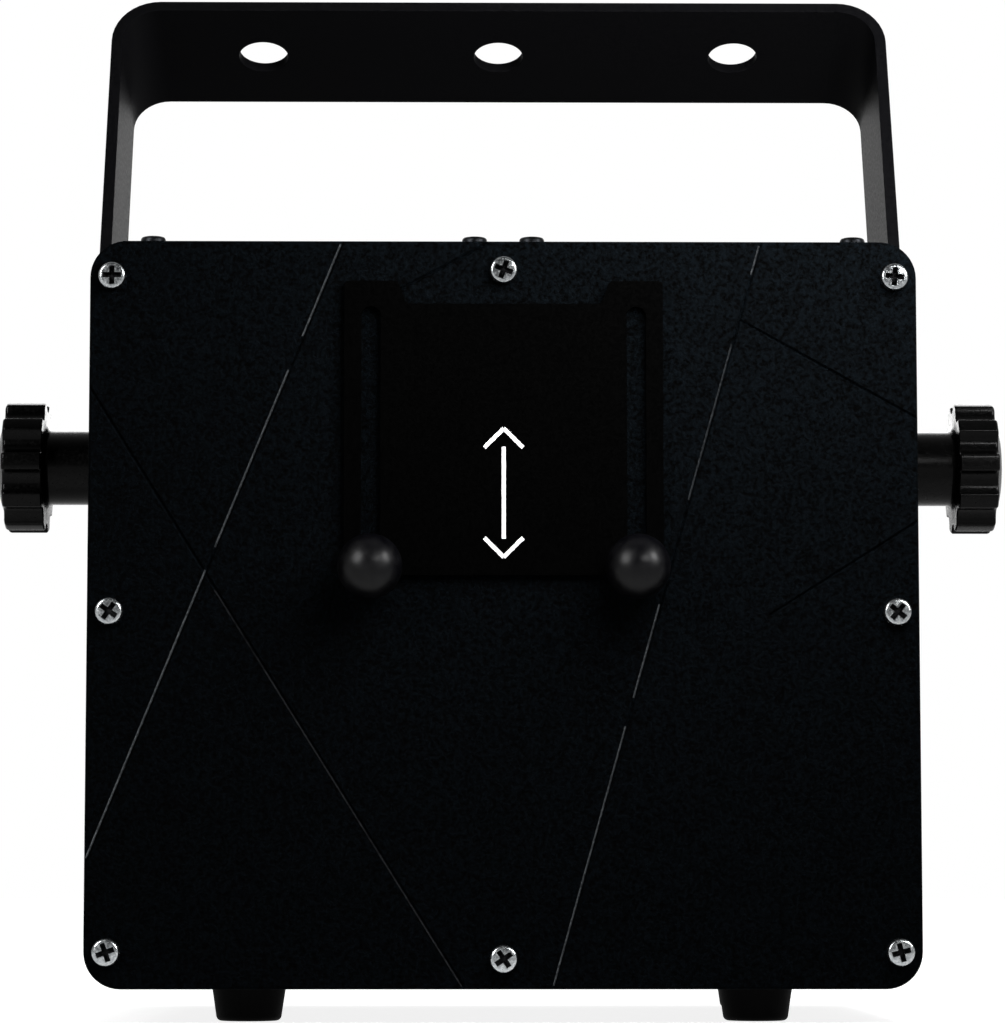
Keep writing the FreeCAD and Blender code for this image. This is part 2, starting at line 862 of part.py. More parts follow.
def make_combiner():
    mirrors = []
    holders = []
    top = beam_z + mirror_height / 2
    for i in range(len(laser_lengths)):
        x = first_laser_x - i * laser_pitch
        half = mirror_width / 2
        base = box(-half, half, 0, holder_back + mirror_thick, bench_top, bench_top + holder_base)
        back = box(-half, half, mirror_thick, mirror_thick + holder_back, bench_top, top)
        holder = joined(base, [back]).cut(rod_y(0, beam_z, 0, holder_back + 3 * mirror_thick, holder_hole))
        glass = box(-half, half, 0, mirror_thick, bench_top + holder_base, top)
        for shape, group in ((holder, holders), (glass, mirrors)):
            shape.rotate(V(0, 0, 0), V(0, 0, 1), 45)
            shape.translate(V(x, scan_depth, 0))
            group.append(shape)
    pieces["combiner_mirrors"] = Part.makeCompound(mirrors)
    pieces["mirror_holders"] = Part.makeCompound(holders)


def make_scanner():
    # The X scanner's shaft runs along Y and turns the beam up.
    # The Y scanner's shaft runs along X and sends the beam forward.
    bore = motor_radius + scan_shaft_clear
    x_motor_front = scan_depth + motor_gap
    x_block_front = x_motor_front + block_setback
    y_block_left = motor_gap + block_setback
    shaft_hole = scan_shaft_radius + scan_shaft_clear
    x_end = x_block_front + block_length
    y_end = y_block_left + block_length
    x_wall = box(-block_half, block_half, x_block_front, x_end, bench_top, beam_z + block_half)
    x_foot = box(-block_half, block_half, scan_depth - block_half, x_block_front + past,
                 bench_top, bench_top + block_foot)
    y_wall = box(y_block_left, y_end, scan_depth - block_half, scan_depth + motor_gap,
                 bench_top, scan_z + block_half)
    y_foot = box(block_half - past, y_block_left + past, scan_depth - block_half, scan_depth + motor_gap,
                 bench_top, bench_top + block_foot)
    block = joined(x_foot, [x_wall, y_wall, y_foot])
    pieces["galvo_block"] = block.cut([rod_y(0, beam_z, x_block_front - past, x_end + past, bore),
                                       rod_x(y_block_left - past, y_end + past, scan_depth, scan_z, bore)])
    x_motor_mid = x_motor_front + motor_length / 2
    x_motor_back = x_motor_front + motor_length
    x_motor = rod_y(0, beam_z, x_motor_front, x_motor_back, motor_radius)
    x_motor = joined(x_motor, [rod_y(0, beam_z, x_motor_back - past, x_motor_back + cap_length, cap_radius)])
    x_motor = x_motor.cut(rod_y(0, beam_z, x_motor_front - past, x_motor_mid, shaft_hole))
    y_motor_mid = motor_gap + motor_length / 2
    y_motor_end = motor_gap + motor_length
    y_motor = rod_x(motor_gap, y_motor_end, scan_depth, scan_z, motor_radius)
    y_cap = rod_x(y_motor_end - past, y_motor_end + cap_length, scan_depth, scan_z, cap_radius)
    y_motor = joined(y_motor, [y_cap])
    y_motor = y_motor.cut(rod_x(motor_gap - past, y_motor_mid, scan_depth, scan_z, shaft_hole))
    pieces["galvo_motors"] = Part.makeCompound([x_motor, y_motor])
    half = scan_mirror_half
    thin = scan_mirror_thick / 2
    root = motor_gap - scan_mirror_gap
    tip = root - scan_mirror_length
    x_glass = box(-half, half, scan_depth + tip, scan_depth + root, beam_z - thin, beam_z + thin)
    x_glass.rotate(V(0, scan_depth, beam_z), V(0, 1, 0), -45)
    x_shaft = rod_y(0, beam_z, scan_depth + root, x_motor_mid - past, scan_shaft_radius)
    pieces["x_scan_mirror"] = Part.makeCompound([x_glass, x_shaft])
    y_glass = box(tip, root, scan_depth - half, scan_depth + half, scan_z - thin, scan_z + thin)
    y_glass.rotate(V(0, scan_depth, scan_z), V(1, 0, 0), -45)
    y_shaft = rod_x(root, y_motor_mid - past, scan_depth, scan_z, scan_shaft_radius)
    pieces["y_scan_mirror"] = Part.makeCompound([y_glass, y_shaft])


def make_boards():
    inner = half_inside - board_side
    back = board_front + board_length
    plans = {
        "power_board": (-inner, -board_gap, board_front, back, floor_z),
        "main_board": (board_gap, inner, board_front, back, floor_z),
        "driver_board": (driver_left, driver_left + driver_width,
                         driver_front, driver_front + driver_length, bench_top),
    }
    standoffs = []
    tops = {}
    for name, (x0, x1, y0, y1, seat) in plans.items():
        z0 = seat + standoff_height
        pieces[name] = rounded(box(x0, x1, y0, y1, z0, z0 + board_thick), V(0, 0, 1), board_corner)
        tops[name] = z0 + board_thick
        for x in (x0 + standoff_inset, x1 - standoff_inset):
            for y in (y0 + standoff_inset, y1 - standoff_inset):
                standoffs.append(rod_z(x, y, seat, z0, standoff_radius))
    pieces["board_standoffs"] = Part.makeCompound(standoffs)
    parts = []

    def block(x, y, z, width, length, height):
        parts.append(box(x, x + width, y, y + length, z, z + height))

    def can(x, y, z, height, radius):
        parts.append(rod_z(x, y, z, z + height, radius))

    x0, x1, y0, y1 = plans["power_board"][:4]
    z = tops["power_board"]
    block(x0 + sink_side, y0 + sink_front, z, sink_thick, sink_length, sink_height)
    block(x0 + transformer_side, y0 + transformer_front, z,
          transformer_width, transformer_length, transformer_height)
    can(x1 - can_side, y0 + big_can_front, z, big_can_height, big_can_radius)
    can(x1 - can_side, y0 + middle_can_front, z, middle_can_height, middle_can_radius)
    can(x1 - can_side, y0 + small_can_front, z, small_can_height, small_can_radius)
    x0, x1, y0, y1 = plans["main_board"][:4]
    z = tops["main_board"]
    block(x0 + processor_side, y0 + processor_front, z, processor_size, processor_size, processor_height)
    block(x0 + header_side, y1 - header_back, z, header_length, header_depth, header_height)
    block(x1 - relay_side, y0 + relay_front, z, relay_width, relay_length, relay_height)
    can(x0 + main_can_side, y0 + main_can_front, z, main_can_height, small_can_radius)
    x0, x1, y0, y1 = plans["driver_board"][:4]
    z = tops["driver_board"]
    block(x0 + amp_sink_side, y0 + amp_sink_front, z, amp_sink_length, sink_thick, amp_sink_height)
    for i in range(2):
        block(x0 + amp_side + i * amp_pitch, y0 + amp_front, z, amp_size, amp_size, amp_height)
    for i in range(3):
        can(x0 + driver_can_side + i * driver_can_pitch, y1 - driver_can_back, z,
            driver_can_height, driver_can_radius)
    pieces["board_parts"] = Part.makeCompound(parts)


fan_z = base_z + fan_height
fan_front = shell_back - fan_depth
fan_holes = [(fan_x + sx * fan_hole_half, fan_z + sz * fan_hole_half) for sx in (-1, 1) for sz in (-1, 1)]
hub_front = fan_front + fan_strut + fan_end_gap
hub_back = shell_back - fan_end_gap


def make_fan():
    frame = rounded_block_y(fan_x, fan_z, fan_size, fan_size, fan_front, shell_back, fan_corner)
    frame = frame.cut(rod_y(fan_x, fan_z, fan_front - past, shell_back + past, fan_duct_radius))
    spindle_end = hub_front + fan_depth / 2
    stator = [rod_y(fan_x, fan_z, fan_front, fan_front + fan_strut, fan_hub_radius),
              rod_y(fan_x, fan_z, fan_front, spindle_end, spindle_radius)]
    for i in range(fan_strut_count):
        strut = box(fan_hub_radius - past, fan_duct_radius + past, fan_front, fan_front + fan_strut,
                    -fan_strut / 2, fan_strut / 2)
        strut.rotate(V(0, 0, 0), V(0, 1, 0), i * 360 / fan_strut_count + fan_strut_turn)
        strut.translate(V(fan_x, 0, fan_z))
        stator.append(strut)
    frame = joined(frame, stator)
    holes = [rod_y(x, z, fan_front - past, shell_back + past, screw_hole) for x, z in fan_holes]
    pieces["fan_frame"] = frame.cut(holes)
    hub = rod_y(0, 0, hub_front, hub_back, fan_hub_radius)
    rim = [e for e in circles(hub) if e.BoundBox.YMin > hub_back - face_gap]
    hub = hub.makeFillet(fan_hub_round, rim)
    hub = hub.cut(rod_y(0, 0, hub_front - past, spindle_end + face_gap, spindle_radius + spindle_clear))
    blade_depth = hub_back - hub_front - fan_end_gap
    mid_y = (hub_front + hub_back) / 2
    tip = fan_duct_radius - fan_tip_gap

    def blade_section(radius, pitch_angle):
        # A thin slanted slice whose outer corners lie on the given radius; the chord fills the hub's depth.
        rise = blade_depth / 2
        run = rise / math.tan(math.radians(pitch_angle))
        t = fan_blade_thick / 2
        height = math.sqrt(radius ** 2 - (run + t) ** 2)
        corners = [V(-run - t, mid_y - rise, height), V(-run + t, mid_y - rise, height),
                   V(run + t, mid_y + rise, height), V(run - t, mid_y + rise, height)]
        return Part.makePolygon(corners + corners[:1])

    blades = []
    for i in range(fan_blades):
        root = blade_section(fan_hub_radius - fan_blade_root, fan_root_angle)
        blade = Part.makeLoft([root, blade_section(tip, fan_tip_angle)], True, True)
        blade.rotate(V(0, 0, 0), V(0, 1, 0), i * 360 / fan_blades)
        blades.append(blade)
    rotor = hub.fuse(blades)
    rotor.translate(V(fan_x, 0, fan_z))
    pieces["fan_rotor"] = rotor


def make_fan_guard():
    y0 = body_depth
    y1 = body_depth + guard_wire
    rings = []
    for i in range(guard_rings):
        radius = fan_duct_radius + guard_wire - (guard_rings - 1 - i) * guard_pitch
        ring = rod_y(fan_x, fan_z, y0, y1, radius)
        rings.append(ring.cut(rod_y(fan_x, fan_z, y0 - past, y1 + past, radius - guard_wire)))
    reach = fan_hole_half * math.sqrt(2)
    for angle in (45, -45):
        spoke = box(-reach, reach, y0, y1, -guard_wire / 2, guard_wire / 2)
        spoke.rotate(V(0, 0, 0), V(0, 1, 0), angle)
        spoke.translate(V(fan_x, 0, fan_z))
        rings.append(spoke)
    rings += [rod_y(x, z, y0, y1, guard_eye_radius) for x, z in fan_holes]
    guard = joined(rings[0], rings[1:])
    pieces["fan_guard"] = guard.cut([rod_y(x, z, y0 - past, y1 + past, screw_hole) for x, z in fan_holes])
    screws = [pan_screw(V(x, y1, z), V(0, 1, 0), fan_depth + sheet) for x, z in fan_holes]
    pieces["fan_screws"] = Part.makeCompound(screws)


socket_z = base_z + socket_row
dmx_places = {"dmx_input": dmx_in_x, "dmx_output": dmx_out_x}
contact_pins = []
socket_screws = []


def make_inlet():
    # A socket with sloped upper corners above a drawer for the fuse.
    face = body_depth + inlet_flange_thick
    flange = rounded_block_y(inlet_x, socket_z, inlet_flange_width, inlet_flange_height,
                             body_depth, face, socket_corner)
    body = box(inlet_x - inlet_body_width / 2, inlet_x + inlet_body_width / 2,
               face - inlet_body_depth, body_depth + past,
               socket_z - inlet_body_height / 2, socket_z + inlet_body_height / 2)
    inlet = joined(flange, [body])
    left = inlet_x - inlet_mouth_width / 2
    right = inlet_x + inlet_mouth_width / 2
    slope = inlet_mouth_slope
    z0 = socket_z + inlet_mouth_rise - inlet_mouth_height / 2
    z1 = z0 + inlet_mouth_height
    floor_y = face - inlet_mouth_depth
    outline = [(left, z0), (right, z0), (right, z1 - slope), (right - slope, z1),
               (left + slope, z1), (left, z1 - slope)]
    mouth = prism([(x, floor_y, z) for x, z in outline], (0, inlet_mouth_depth + past, 0))
    drawer_z = socket_z - drawer_drop
    pocket = box(inlet_x - drawer_width / 2, inlet_x + drawer_width / 2, face - drawer_depth, face + past,
                 drawer_z - drawer_height / 2, drawer_z + drawer_height / 2)
    cuts = [mouth, pocket]
    for side in (-1, 1):
        hole_x = inlet_x + side * inlet_screw_x
        cuts.append(rod_y(hole_x, socket_z, body_depth - past, face + past, screw_hole))
        socket_screws.append((hole_x, socket_z, face))
    pieces["mains_inlet"] = inlet.cut(cuts)
    mid = socket_z + inlet_mouth_rise
    for i in (-1, 0, 1):
        x = inlet_x + i * inlet_pin_pitch
        z = mid - inlet_pin_drop if i else mid + inlet_earth_rise
        pin = box(x - inlet_pin_half, x + inlet_pin_half, floor_y, floor_y + inlet_pin_length,
                  z - inlet_pin_half_tall, z + inlet_pin_half_tall)
        contact_pins.append(pin)
    c = drawer_clear
    tray = box(inlet_x - drawer_width / 2 + c, inlet_x + drawer_width / 2 - c,
               face - drawer_depth + c, face + drawer_face,
               drawer_z - drawer_height / 2 + c, drawer_z + drawer_height / 2 - c)
    wall = drawer_wall
    well = box(inlet_x - drawer_width / 2 + wall, inlet_x + drawer_width / 2 - wall,
               face - drawer_depth + wall, face - wall,
               drawer_z - drawer_height / 2 + wall, drawer_z + drawer_height)
    grip = box(inlet_x - drawer_grip_half, inlet_x + drawer_grip_half,
               face + drawer_face / 2, face + 2 * drawer_face,
               drawer_z - drawer_grip_half_tall, drawer_z + drawer_grip_half_tall)
    pieces["fuse_drawer"] = tray.cut([well, grip])


def make_dmx_sockets():
    face = body_depth + dmx_flange_thick
    back = face - dmx_barrel_depth
    cup_floor = face - dmx_cup_depth
    for name, x in dmx_places.items():
        flange = rounded_block_y(x, socket_z, dmx_flange_width, dmx_flange_height,
                                 body_depth, face, socket_corner)
        shell = joined(flange, [rod_y(x, socket_z, back, body_depth + past, dmx_barrel_radius)])
        cuts = [rod_y(x, socket_z, cup_floor, face + past, dmx_cup_radius)]
        for side in (-1, 1):
            hole = (x + side * dmx_screw_x, socket_z + side * dmx_screw_z)
            cuts.append(rod_y(*hole, body_depth - past, face + past, screw_hole))
            socket_screws.append((*hole, face))
        shell = shell.cut(cuts)
        spots = [(x + dmx_pin_circle * math.cos(a), socket_z + dmx_pin_circle * math.sin(a))
                 for a in (math.radians(30), math.radians(150), math.radians(270))]
        if name == "dmx_input":
            tip = cup_floor + dmx_pin_length
            contact_pins.extend(rod_y(px, pz, cup_floor, tip, dmx_pin_radius) for px, pz in spots)
        else:
            insert = rod_y(x, socket_z, cup_floor, face - dmx_insert_setback, dmx_insert_radius)
            bore = dmx_pin_radius + dmx_pin_clear
            holes = [rod_y(px, pz, face - dmx_pin_length, face, bore) for px, pz in spots]
            shell = Part.makeCompound([shell, insert.cut(holes)])
        pieces[name] = shell


def make_interlock():
    face = body_depth + jack_nut_thick
    barrel = rod_y(interlock_x, socket_z, face - jack_depth, body_depth + past, jack_barrel_radius)
    points = []
    for i in range(6):
        angle = math.radians(60 * i)
        points.append((interlock_x + jack_nut_radius * math.cos(angle), body_depth,
                       socket_z + jack_nut_radius * math.sin(angle)))
    jack = joined(prism(points, (0, jack_nut_thick, 0)), [barrel])
    hole_end = face - jack_depth + jack_back_wall
    hole = rod_y(interlock_x, socket_z, hole_end, face + past, jack_hole_radius)
    pieces["interlock_socket"] = jack.cut(hole)


key_z = base_z + middle_row


def make_key_switch():
    face = body_depth + lock_bezel
    bezel = rod_y(key_x, key_z, body_depth, face, lock_bezel_radius)
    rim = [e for e in circles(bezel) if e.BoundBox.YMin > face - face_gap]
    bezel = bezel.makeFillet(lock_bezel_round, rim)
    lock = joined(bezel, [rod_y(key_x, key_z, face - lock_depth, body_depth + past, lock_radius)])
    bore = rod_y(key_x, key_z, face - plug_depth, face + past, plug_radius + plug_clear)
    pieces["key_lock"] = lock.cut(bore)
    plug = rod_y(key_x, key_z, face - plug_depth + face_gap, face + plug_proud, plug_radius)
    bow_y = face + key_reach - key_bow_radius
    half = key_thick / 2
    bow = rod_x(key_x - half, key_x + half, bow_y, key_z, key_bow_radius)
    stem = box(key_x - half, key_x + half, face, bow_y, key_z - key_stem_half, key_z + key_stem_half)
    key = joined(plug, [bow, stem])
    ring_y = bow_y + key_bow_radius / 2
    pieces["key"] = key.cut(rod_x(key_x - key_thick, key_x + key_thick, ring_y, key_z, key_ring_hole))


control_rear = shell_back - control_gap
button_z = base_z + button_row
button_places = [control_x + (i - (button_count - 1) / 2) * button_pitch for i in range(button_count)]
display_z = base_z + display_height


def make_control_panel():
    front = control_rear - board_thick
    board = box(control_x - control_half, control_x + control_half, front, control_rear,
                base_z + control_foot, base_z + control_head)
    pieces["control_board"] = rounded(board, V(0, 1, 0), board_corner)
    pane_width = display_width + 2 * display_margin
    pane_height = display_tall + 2 * display_margin
    pane_front = shell_back - window_pane
    pane = rounded_block_y(control_x, display_z, pane_width, pane_height, pane_front, shell_back, pane_corner)
    pieces["display_window"] = pane
    digits = box(control_x - display_width / 2, control_x + display_width / 2, control_rear, pane_front,
                 display_z - display_tall / 2, display_z + display_tall / 2)
    pieces["display_module"] = digits
    switch_top = control_rear + switch_height
    cap_face = body_depth + button_proud
    switches = []
    for i, x in enumerate(button_places):
        well = rod_y(x, button_z, switch_top - 2 * button_travel - face_gap, switch_top + past, switch_well)
        switches.append(box(x - switch_half, x + switch_half, control_rear, switch_top,
                            button_z - switch_half, button_z + switch_half).cut(well))
        cap = rod_y(x, button_z, shell_back - past, cap_face, button_radius)
        rim = [e for e in circles(cap) if e.BoundBox.YMin > cap_face - face_gap]
        cap = cap.makeFillet(button_round, rim)
        collar_back = shell_back - face_gap
        collar = rod_y(x, button_z, collar_back - button_collar_thick, collar_back, button_collar)
        stem = rod_y(x, button_z, switch_top - button_travel / 2, collar_back, button_stem)
        pieces["button_%d" % (i + 1)] = joined(cap, [collar, stem])
    pieces["button_switches"] = Part.makeCompound(switches)


def make_sensitivity():
    z = key_z
    bush_face = body_depth + pot_bush_proud
    shaft_back = shell_back - pot_depth + pot_back_wall
    pot = rod_y(pot_x, z, shell_back - pot_depth, shell_back, pot_radius)
    pot = joined(pot, [rod_y(pot_x, z, shell_back - past, bush_face, pot_bush_radius)])
    bore = rod_y(pot_x, z, shaft_back, body_depth + past, pot_shaft_radius + pot_shaft_clear)
    pieces["sensitivity_pot"] = pot.cut(bore)
    start = bush_face + 2 * face_gap
    end = start + pot_knob_length
    knob = Part.makeCone(pot_knob_radius, pot_knob_tip_radius, pot_knob_length,
                         V(pot_x, start, z), V(0, 1, 0))
    rim = [e for e in circles(knob) if e.BoundBox.YMin > end - face_gap]
    knob = knob.makeFillet(pot_knob_round, rim)
    mark = box(pot_x - pot_mark_half, pot_x + pot_mark_half, end - pot_mark_depth, end + past,
               z + pot_mark_start, z + pot_knob_radius)
    shaft = rod_y(pot_x, z, shaft_back + face_gap, start + past, pot_shaft_radius)
    pieces["sensitivity_knob"] = joined(knob, [shaft]).cut(mark)


eye_z = base_z + eye_height


def make_safety_eye():
    # A bent rod on a riveted foot plate; its loop lies level.
    face = body_depth + eye_base_thick
    bend_y = face + eye_leg
    foot = box(fan_x - eye_base_half, fan_x + eye_base_half, body_depth, face,
               eye_z - eye_base_radius, eye_z + eye_base_radius)
    foot = rounded(foot, V(0, 1, 0), eye_base_corner)
    root = face - eye_base_thick / 2
    legs = [rod_y(fan_x + s * eye_half, eye_z, root, bend_y, eye_rod_radius) for s in (-1, 1)]
    end = Part.Wire(Part.makeCircle(eye_rod_radius, V(fan_x + eye_half, bend_y, eye_z), V(0, 1, 0)))
    loop = Part.Face(end).revolve(V(fan_x, bend_y, eye_z), V(0, 0, 1), 180)
    pieces["safety_eye"] = foot.fuse(legs + [loop])


def make_rear_panel():
    panel = box(-half_shell, half_shell, shell_back, body_depth, base_z, top_z)
    panel = rounded(panel, V(0, 1, 0), shell_bend)
    y0 = shell_back - past
    y1 = body_depth + past
    cuts = [rod_y(x, z, y0, y1, screw_hole) for x, z in plate_screws]
    cuts += [rod_y(x, z, y0, y1, screw_hole) for x, z in fan_holes]
    cuts += [rod_y(x, z, y0, y1, screw_hole) for x, z, _ in socket_screws]
    cuts.append(rod_y(fan_x, fan_z, y0, y1, fan_duct_radius))
    cuts.append(box(inlet_x - inlet_body_width / 2, inlet_x + inlet_body_width / 2, y0, y1,
                    socket_z - inlet_body_height / 2, socket_z + inlet_body_height / 2))
    cuts += [rod_y(x, socket_z, y0, y1, dmx_barrel_radius + face_gap) for x in dmx_places.values()]
    cuts.append(rod_y(interlock_x, socket_z, y0, y1, jack_barrel_radius + face_gap))
    cuts.append(rod_y(key_x, key_z, y0, y1, lock_radius + face_gap))
    cuts.append(rod_y(pot_x, key_z, y0, y1, pot_bush_radius + face_gap))
    cuts.append(rounded_block_y(control_x, display_z, display_width, display_tall, y0, y1, display_corner))
    cuts += [rod_y(x, button_z, y0, y1, button_radius + button_clear) for x in button_places]
    return panel.cut(cuts)


pieces["front_plate"] = make_front_plate()
make_window()
pieces["base_tray"] = make_base_tray()
pieces["top_cover"] = make_top_cover()
pieces["cover_cleats"] = make_cover_cleats()
pieces["rubber_feet"] = make_feet()
pieces["shutter_plate"] = make_shutter()
pieces["left_ball_knob"] = make_ball_knob(-1)
pieces["right_ball_knob"] = make_ball_knob(1)
pieces["bracket"] = make_bracket()
pieces["left_clamp_knob"] = make_clamp_knob(-1)
pieces["right_clamp_knob"] = make_clamp_knob(1)
pieces["left_knob_stud"] = make_knob_stud(-1)
pieces["right_knob_stud"] = make_knob_stud(1)
pieces["threaded_inserts"] = make_inserts()
pieces["friction_washers"] = make_washers()
make_bench()
for i, (name, length) in enumerate(laser_lengths.items()):
    pieces[name] = make_laser(first_laser_x - i * laser_pitch, length)
make_combiner()
make_scanner()
make_boards()
make_fan()
make_fan_guard()
make_inlet()
make_dmx_sockets()
make_interlock()
make_key_switch()
make_control_panel()
make_sensitivity()
make_safety_eye()
pieces["contact_pins"] = Part.makeCompound(contact_pins)
pieces["rear_panel"] = make_rear_panel()

front_heads = []
for x, z in plate_screws:
    front_heads.append(pan_screw(V(x, 0, z), V(0, -1, 0), screw_length, plate_head_radius))
pieces["front_screws"] = Part.makeCompound(front_heads)
rear_heads = [pan_screw(V(x, body_depth, z), V(0, 1, 0), screw_length) for x, z in plate_screws]
rear_heads += [pan_screw(V(x, y, z), V(0, 1, 0), screw_length) for x, z, y in socket_screws]
pieces["rear_screws"] = Part.makeCompound(rear_heads)
pan_heads = [pan_screw(V(x, y, top_z), V(0, 0, 1), screw_length) for x, y in cover_screws]
pan_heads += [pan_screw(V(x, y, bench_top), V(0, 0, 1), screw_length) for x, y in bench_screws]
pan_heads += [pan_screw(V(x, y, foot_recess_depth), V(0, 0, -1), screw_length) for x, y in feet_places]
pieces["pan_screws"] = Part.makeCompound(pan_heads)

# The origin is on the floor, under the middle of the whole length.
for name, shape in pieces.items():
    shape.translate(V(0, -middle_y, 0))
    shape.exportStep("parts/%s.step" % name)
print("%d pieces, middle at y %.3f" % (len(pieces), middle_y))
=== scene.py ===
import bmesh
import bpy
import json
from math import acos, asin, atan2, cos, pi, radians, sin, sqrt
from mathutils import Matrix, Vector


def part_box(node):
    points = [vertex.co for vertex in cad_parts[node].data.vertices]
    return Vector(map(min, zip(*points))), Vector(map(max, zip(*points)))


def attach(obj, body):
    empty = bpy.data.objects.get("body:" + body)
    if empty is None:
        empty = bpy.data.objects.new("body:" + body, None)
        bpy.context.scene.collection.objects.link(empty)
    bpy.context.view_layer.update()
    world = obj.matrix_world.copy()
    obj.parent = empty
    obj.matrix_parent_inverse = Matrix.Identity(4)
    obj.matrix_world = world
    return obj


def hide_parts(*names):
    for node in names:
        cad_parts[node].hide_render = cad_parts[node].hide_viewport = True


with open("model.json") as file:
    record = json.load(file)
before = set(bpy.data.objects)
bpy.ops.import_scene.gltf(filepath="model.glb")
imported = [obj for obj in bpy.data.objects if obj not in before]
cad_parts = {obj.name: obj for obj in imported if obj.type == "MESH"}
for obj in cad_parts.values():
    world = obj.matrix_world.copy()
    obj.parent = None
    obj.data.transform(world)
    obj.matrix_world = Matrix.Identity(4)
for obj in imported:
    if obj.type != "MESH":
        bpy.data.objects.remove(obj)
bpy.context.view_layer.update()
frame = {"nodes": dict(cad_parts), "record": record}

nodes = frame["nodes"]
mm = 0.001
weld = 1e-6    # in metres: points closer than this are one point
print("frame loaded:", len(nodes), "nodes")


# Camera, as fitted to the plate's and the bracket's edges

viewPoint = dict(place=(-0.01032, -0.90199, 0.02846), lookUp=0.0982, turn=-0.0123, lens=134.92, sensor=36.0,
                 nearClip=0.01)


def addCamera(spec):
    data = bpy.data.cameras.new("photoCamera")
    data.lens = spec["lens"]
    data.sensor_width = spec["sensor"]
    data.clip_start = spec["nearClip"]
    camera = bpy.data.objects.new("photoCamera", data)
    camera.location = spec["place"]
    camera.rotation_euler = (pi / 2 + spec["lookUp"], 0, spec["turn"])
    bpy.context.scene.collection.objects.link(camera)
    bpy.context.scene.camera = camera


addCamera(viewPoint)
bpy.context.scene.view_settings.view_transform = "Standard"


# Node and material helpers

noiseSpan = (0.3, 0.7)      # the values that a noise pattern mostly takes
tintSpan = (0.32, 0.68)     # the part of them over which a colour changes


def hexToLinear(code):
    channels = [int(code[i:i + 2], 16) / 255 for i in (0, 2, 4)]
    linear = [c / 12.92 if c <= 0.04045 else ((c + 0.055) / 1.055) ** 2.4 for c in channels]
    return (*linear, 1.0)


def addNode(tree, kind, settings=None, links=None):
    node = tree.nodes.new(kind)
    for key, value in (settings or {}).items():
        if isinstance(key, int) or key in node.inputs.keys():
            node.inputs[key].default_value = value
        else:
            setattr(node, key, value)
    for key, source in (links or {}).items():
        tree.links.new(source, node.inputs[key])
    return node


def newMaterial(name, colour, **sockets):
    material = bpy.data.materials.new(name)
    material.use_nodes = True
    tree = material.node_tree
    shader = tree.nodes["Principled BSDF"]
    shader.inputs["Base Color"].default_value = hexToLinear(colour)
    for key, value in sockets.items():
        shader.inputs[key.replace("_", " ")].default_value = value
    return material, tree, shader


def perMetre(sizeMm):
    return 1000.0 / sizeMm    # a texture's scale from the size of its grain


def grain(tree, shader, sizeMm, heightMm, detail=2.0, stretch=(1, 1, 1)):
    # small bumps over the whole surface, sizeMm apart and heightMm high; gives their pattern
    place = addNode(tree, "ShaderNodeTexCoord").outputs["Object"]
    if stretch != (1, 1, 1):
        place = addNode(tree, "ShaderNodeMapping", {"Scale": stretch}, {"Vector": place}).outputs["Vector"]
    noise = addNode(tree, "ShaderNodeTexNoise",
                    {"Scale": perMetre(sizeMm), "Detail": detail, "Roughness": 0.55}, {"Vector": place})
    bump = addNode(tree, "ShaderNodeBump", {"Distance": heightMm * mm, "Strength": 1.0},
                   {"Height": noise.outputs["Fac"]})
    tree.links.new(bump.outputs["Normal"], shader.inputs["Normal"])
    return noise.outputs["Fac"]


def vary(tree, shader, socket, pattern, low, high):
    # the socket follows a pattern between two values
    span = addNode(tree, "ShaderNodeMapRange", {"From Min": noiseSpan[0], "From Max": noiseSpan[1],
                                                "To Min": low, "To Max": high}, {"Value": pattern})
    tree.links.new(span.outputs["Result"], shader.inputs[socket])


def tint(tree, shader, pattern, dark, light):
    # the base colour follows a pattern between two colours
    ramp = addNode(tree, "ShaderNodeValToRGB", {}, {"Fac": pattern})
    for stop, colour, position in zip(ramp.color_ramp.elements, (dark, light), tintSpan):
        stop.color = hexToLinear(colour)
        stop.position = position
    tree.links.new(ramp.outputs["Color"], shader.inputs["Base Color"])


# Materials

def powderCoat(name, dark, light, roughness, grainMm, heightMm, specular, spread=0.08):
    # polyester powder sprayed on sheet metal and baked: a fine pebbled skin that scatters the light
    material, tree, shader = newMaterial(name, dark, IOR=1.5, Specular_IOR_Level=specular)
    pattern = grain(tree, shader, grainMm, heightMm)
    vary(tree, shader, "Roughness", pattern, roughness - spread, roughness + spread)
    tint(tree, shader, pattern, dark, light)
    return material


def mouldedPlastic(name, dark, light, roughness, grainMm, heightMm, specular=0.4, spread=0.06):
    # injection moulded in a spark-eroded tool: an even fine grain with a dull sheen
    material, tree, shader = newMaterial(name, dark, IOR=1.53, Specular_IOR_Level=specular)
    pattern = grain(tree, shader, grainMm, heightMm)
    vary(tree, shader, "Roughness", pattern, roughness - spread, roughness + spread)
    tint(tree, shader, pattern, dark, light)
    return material


def platedMetal(name, dark, light, roughness, grainMm, heightMm, stretch=(1, 1, 1),
                smoother=0.06, duller=0.08):
    # plated or machined metal: clear reflections broken by tumbling marks or by the cutter's lines
    material, tree, shader = newMaterial(name, dark, Metallic=1.0)
    pattern = grain(tree, shader, grainMm, heightMm, detail=3.0, stretch=stretch)
    vary(tree, shader, "Roughness", pattern, roughness - smoother, roughness + duller)
    tint(tree, shader, pattern, dark, light)
    return material


def clearSheet(name, colour, roughness, specular):
    # cast or floated sheet with the melt's own polish
    return newMaterial(name, colour, Roughness=roughness, IOR=1.5, Transmission_Weight=1.0,
                       Specular_IOR_Level=specular)[0]


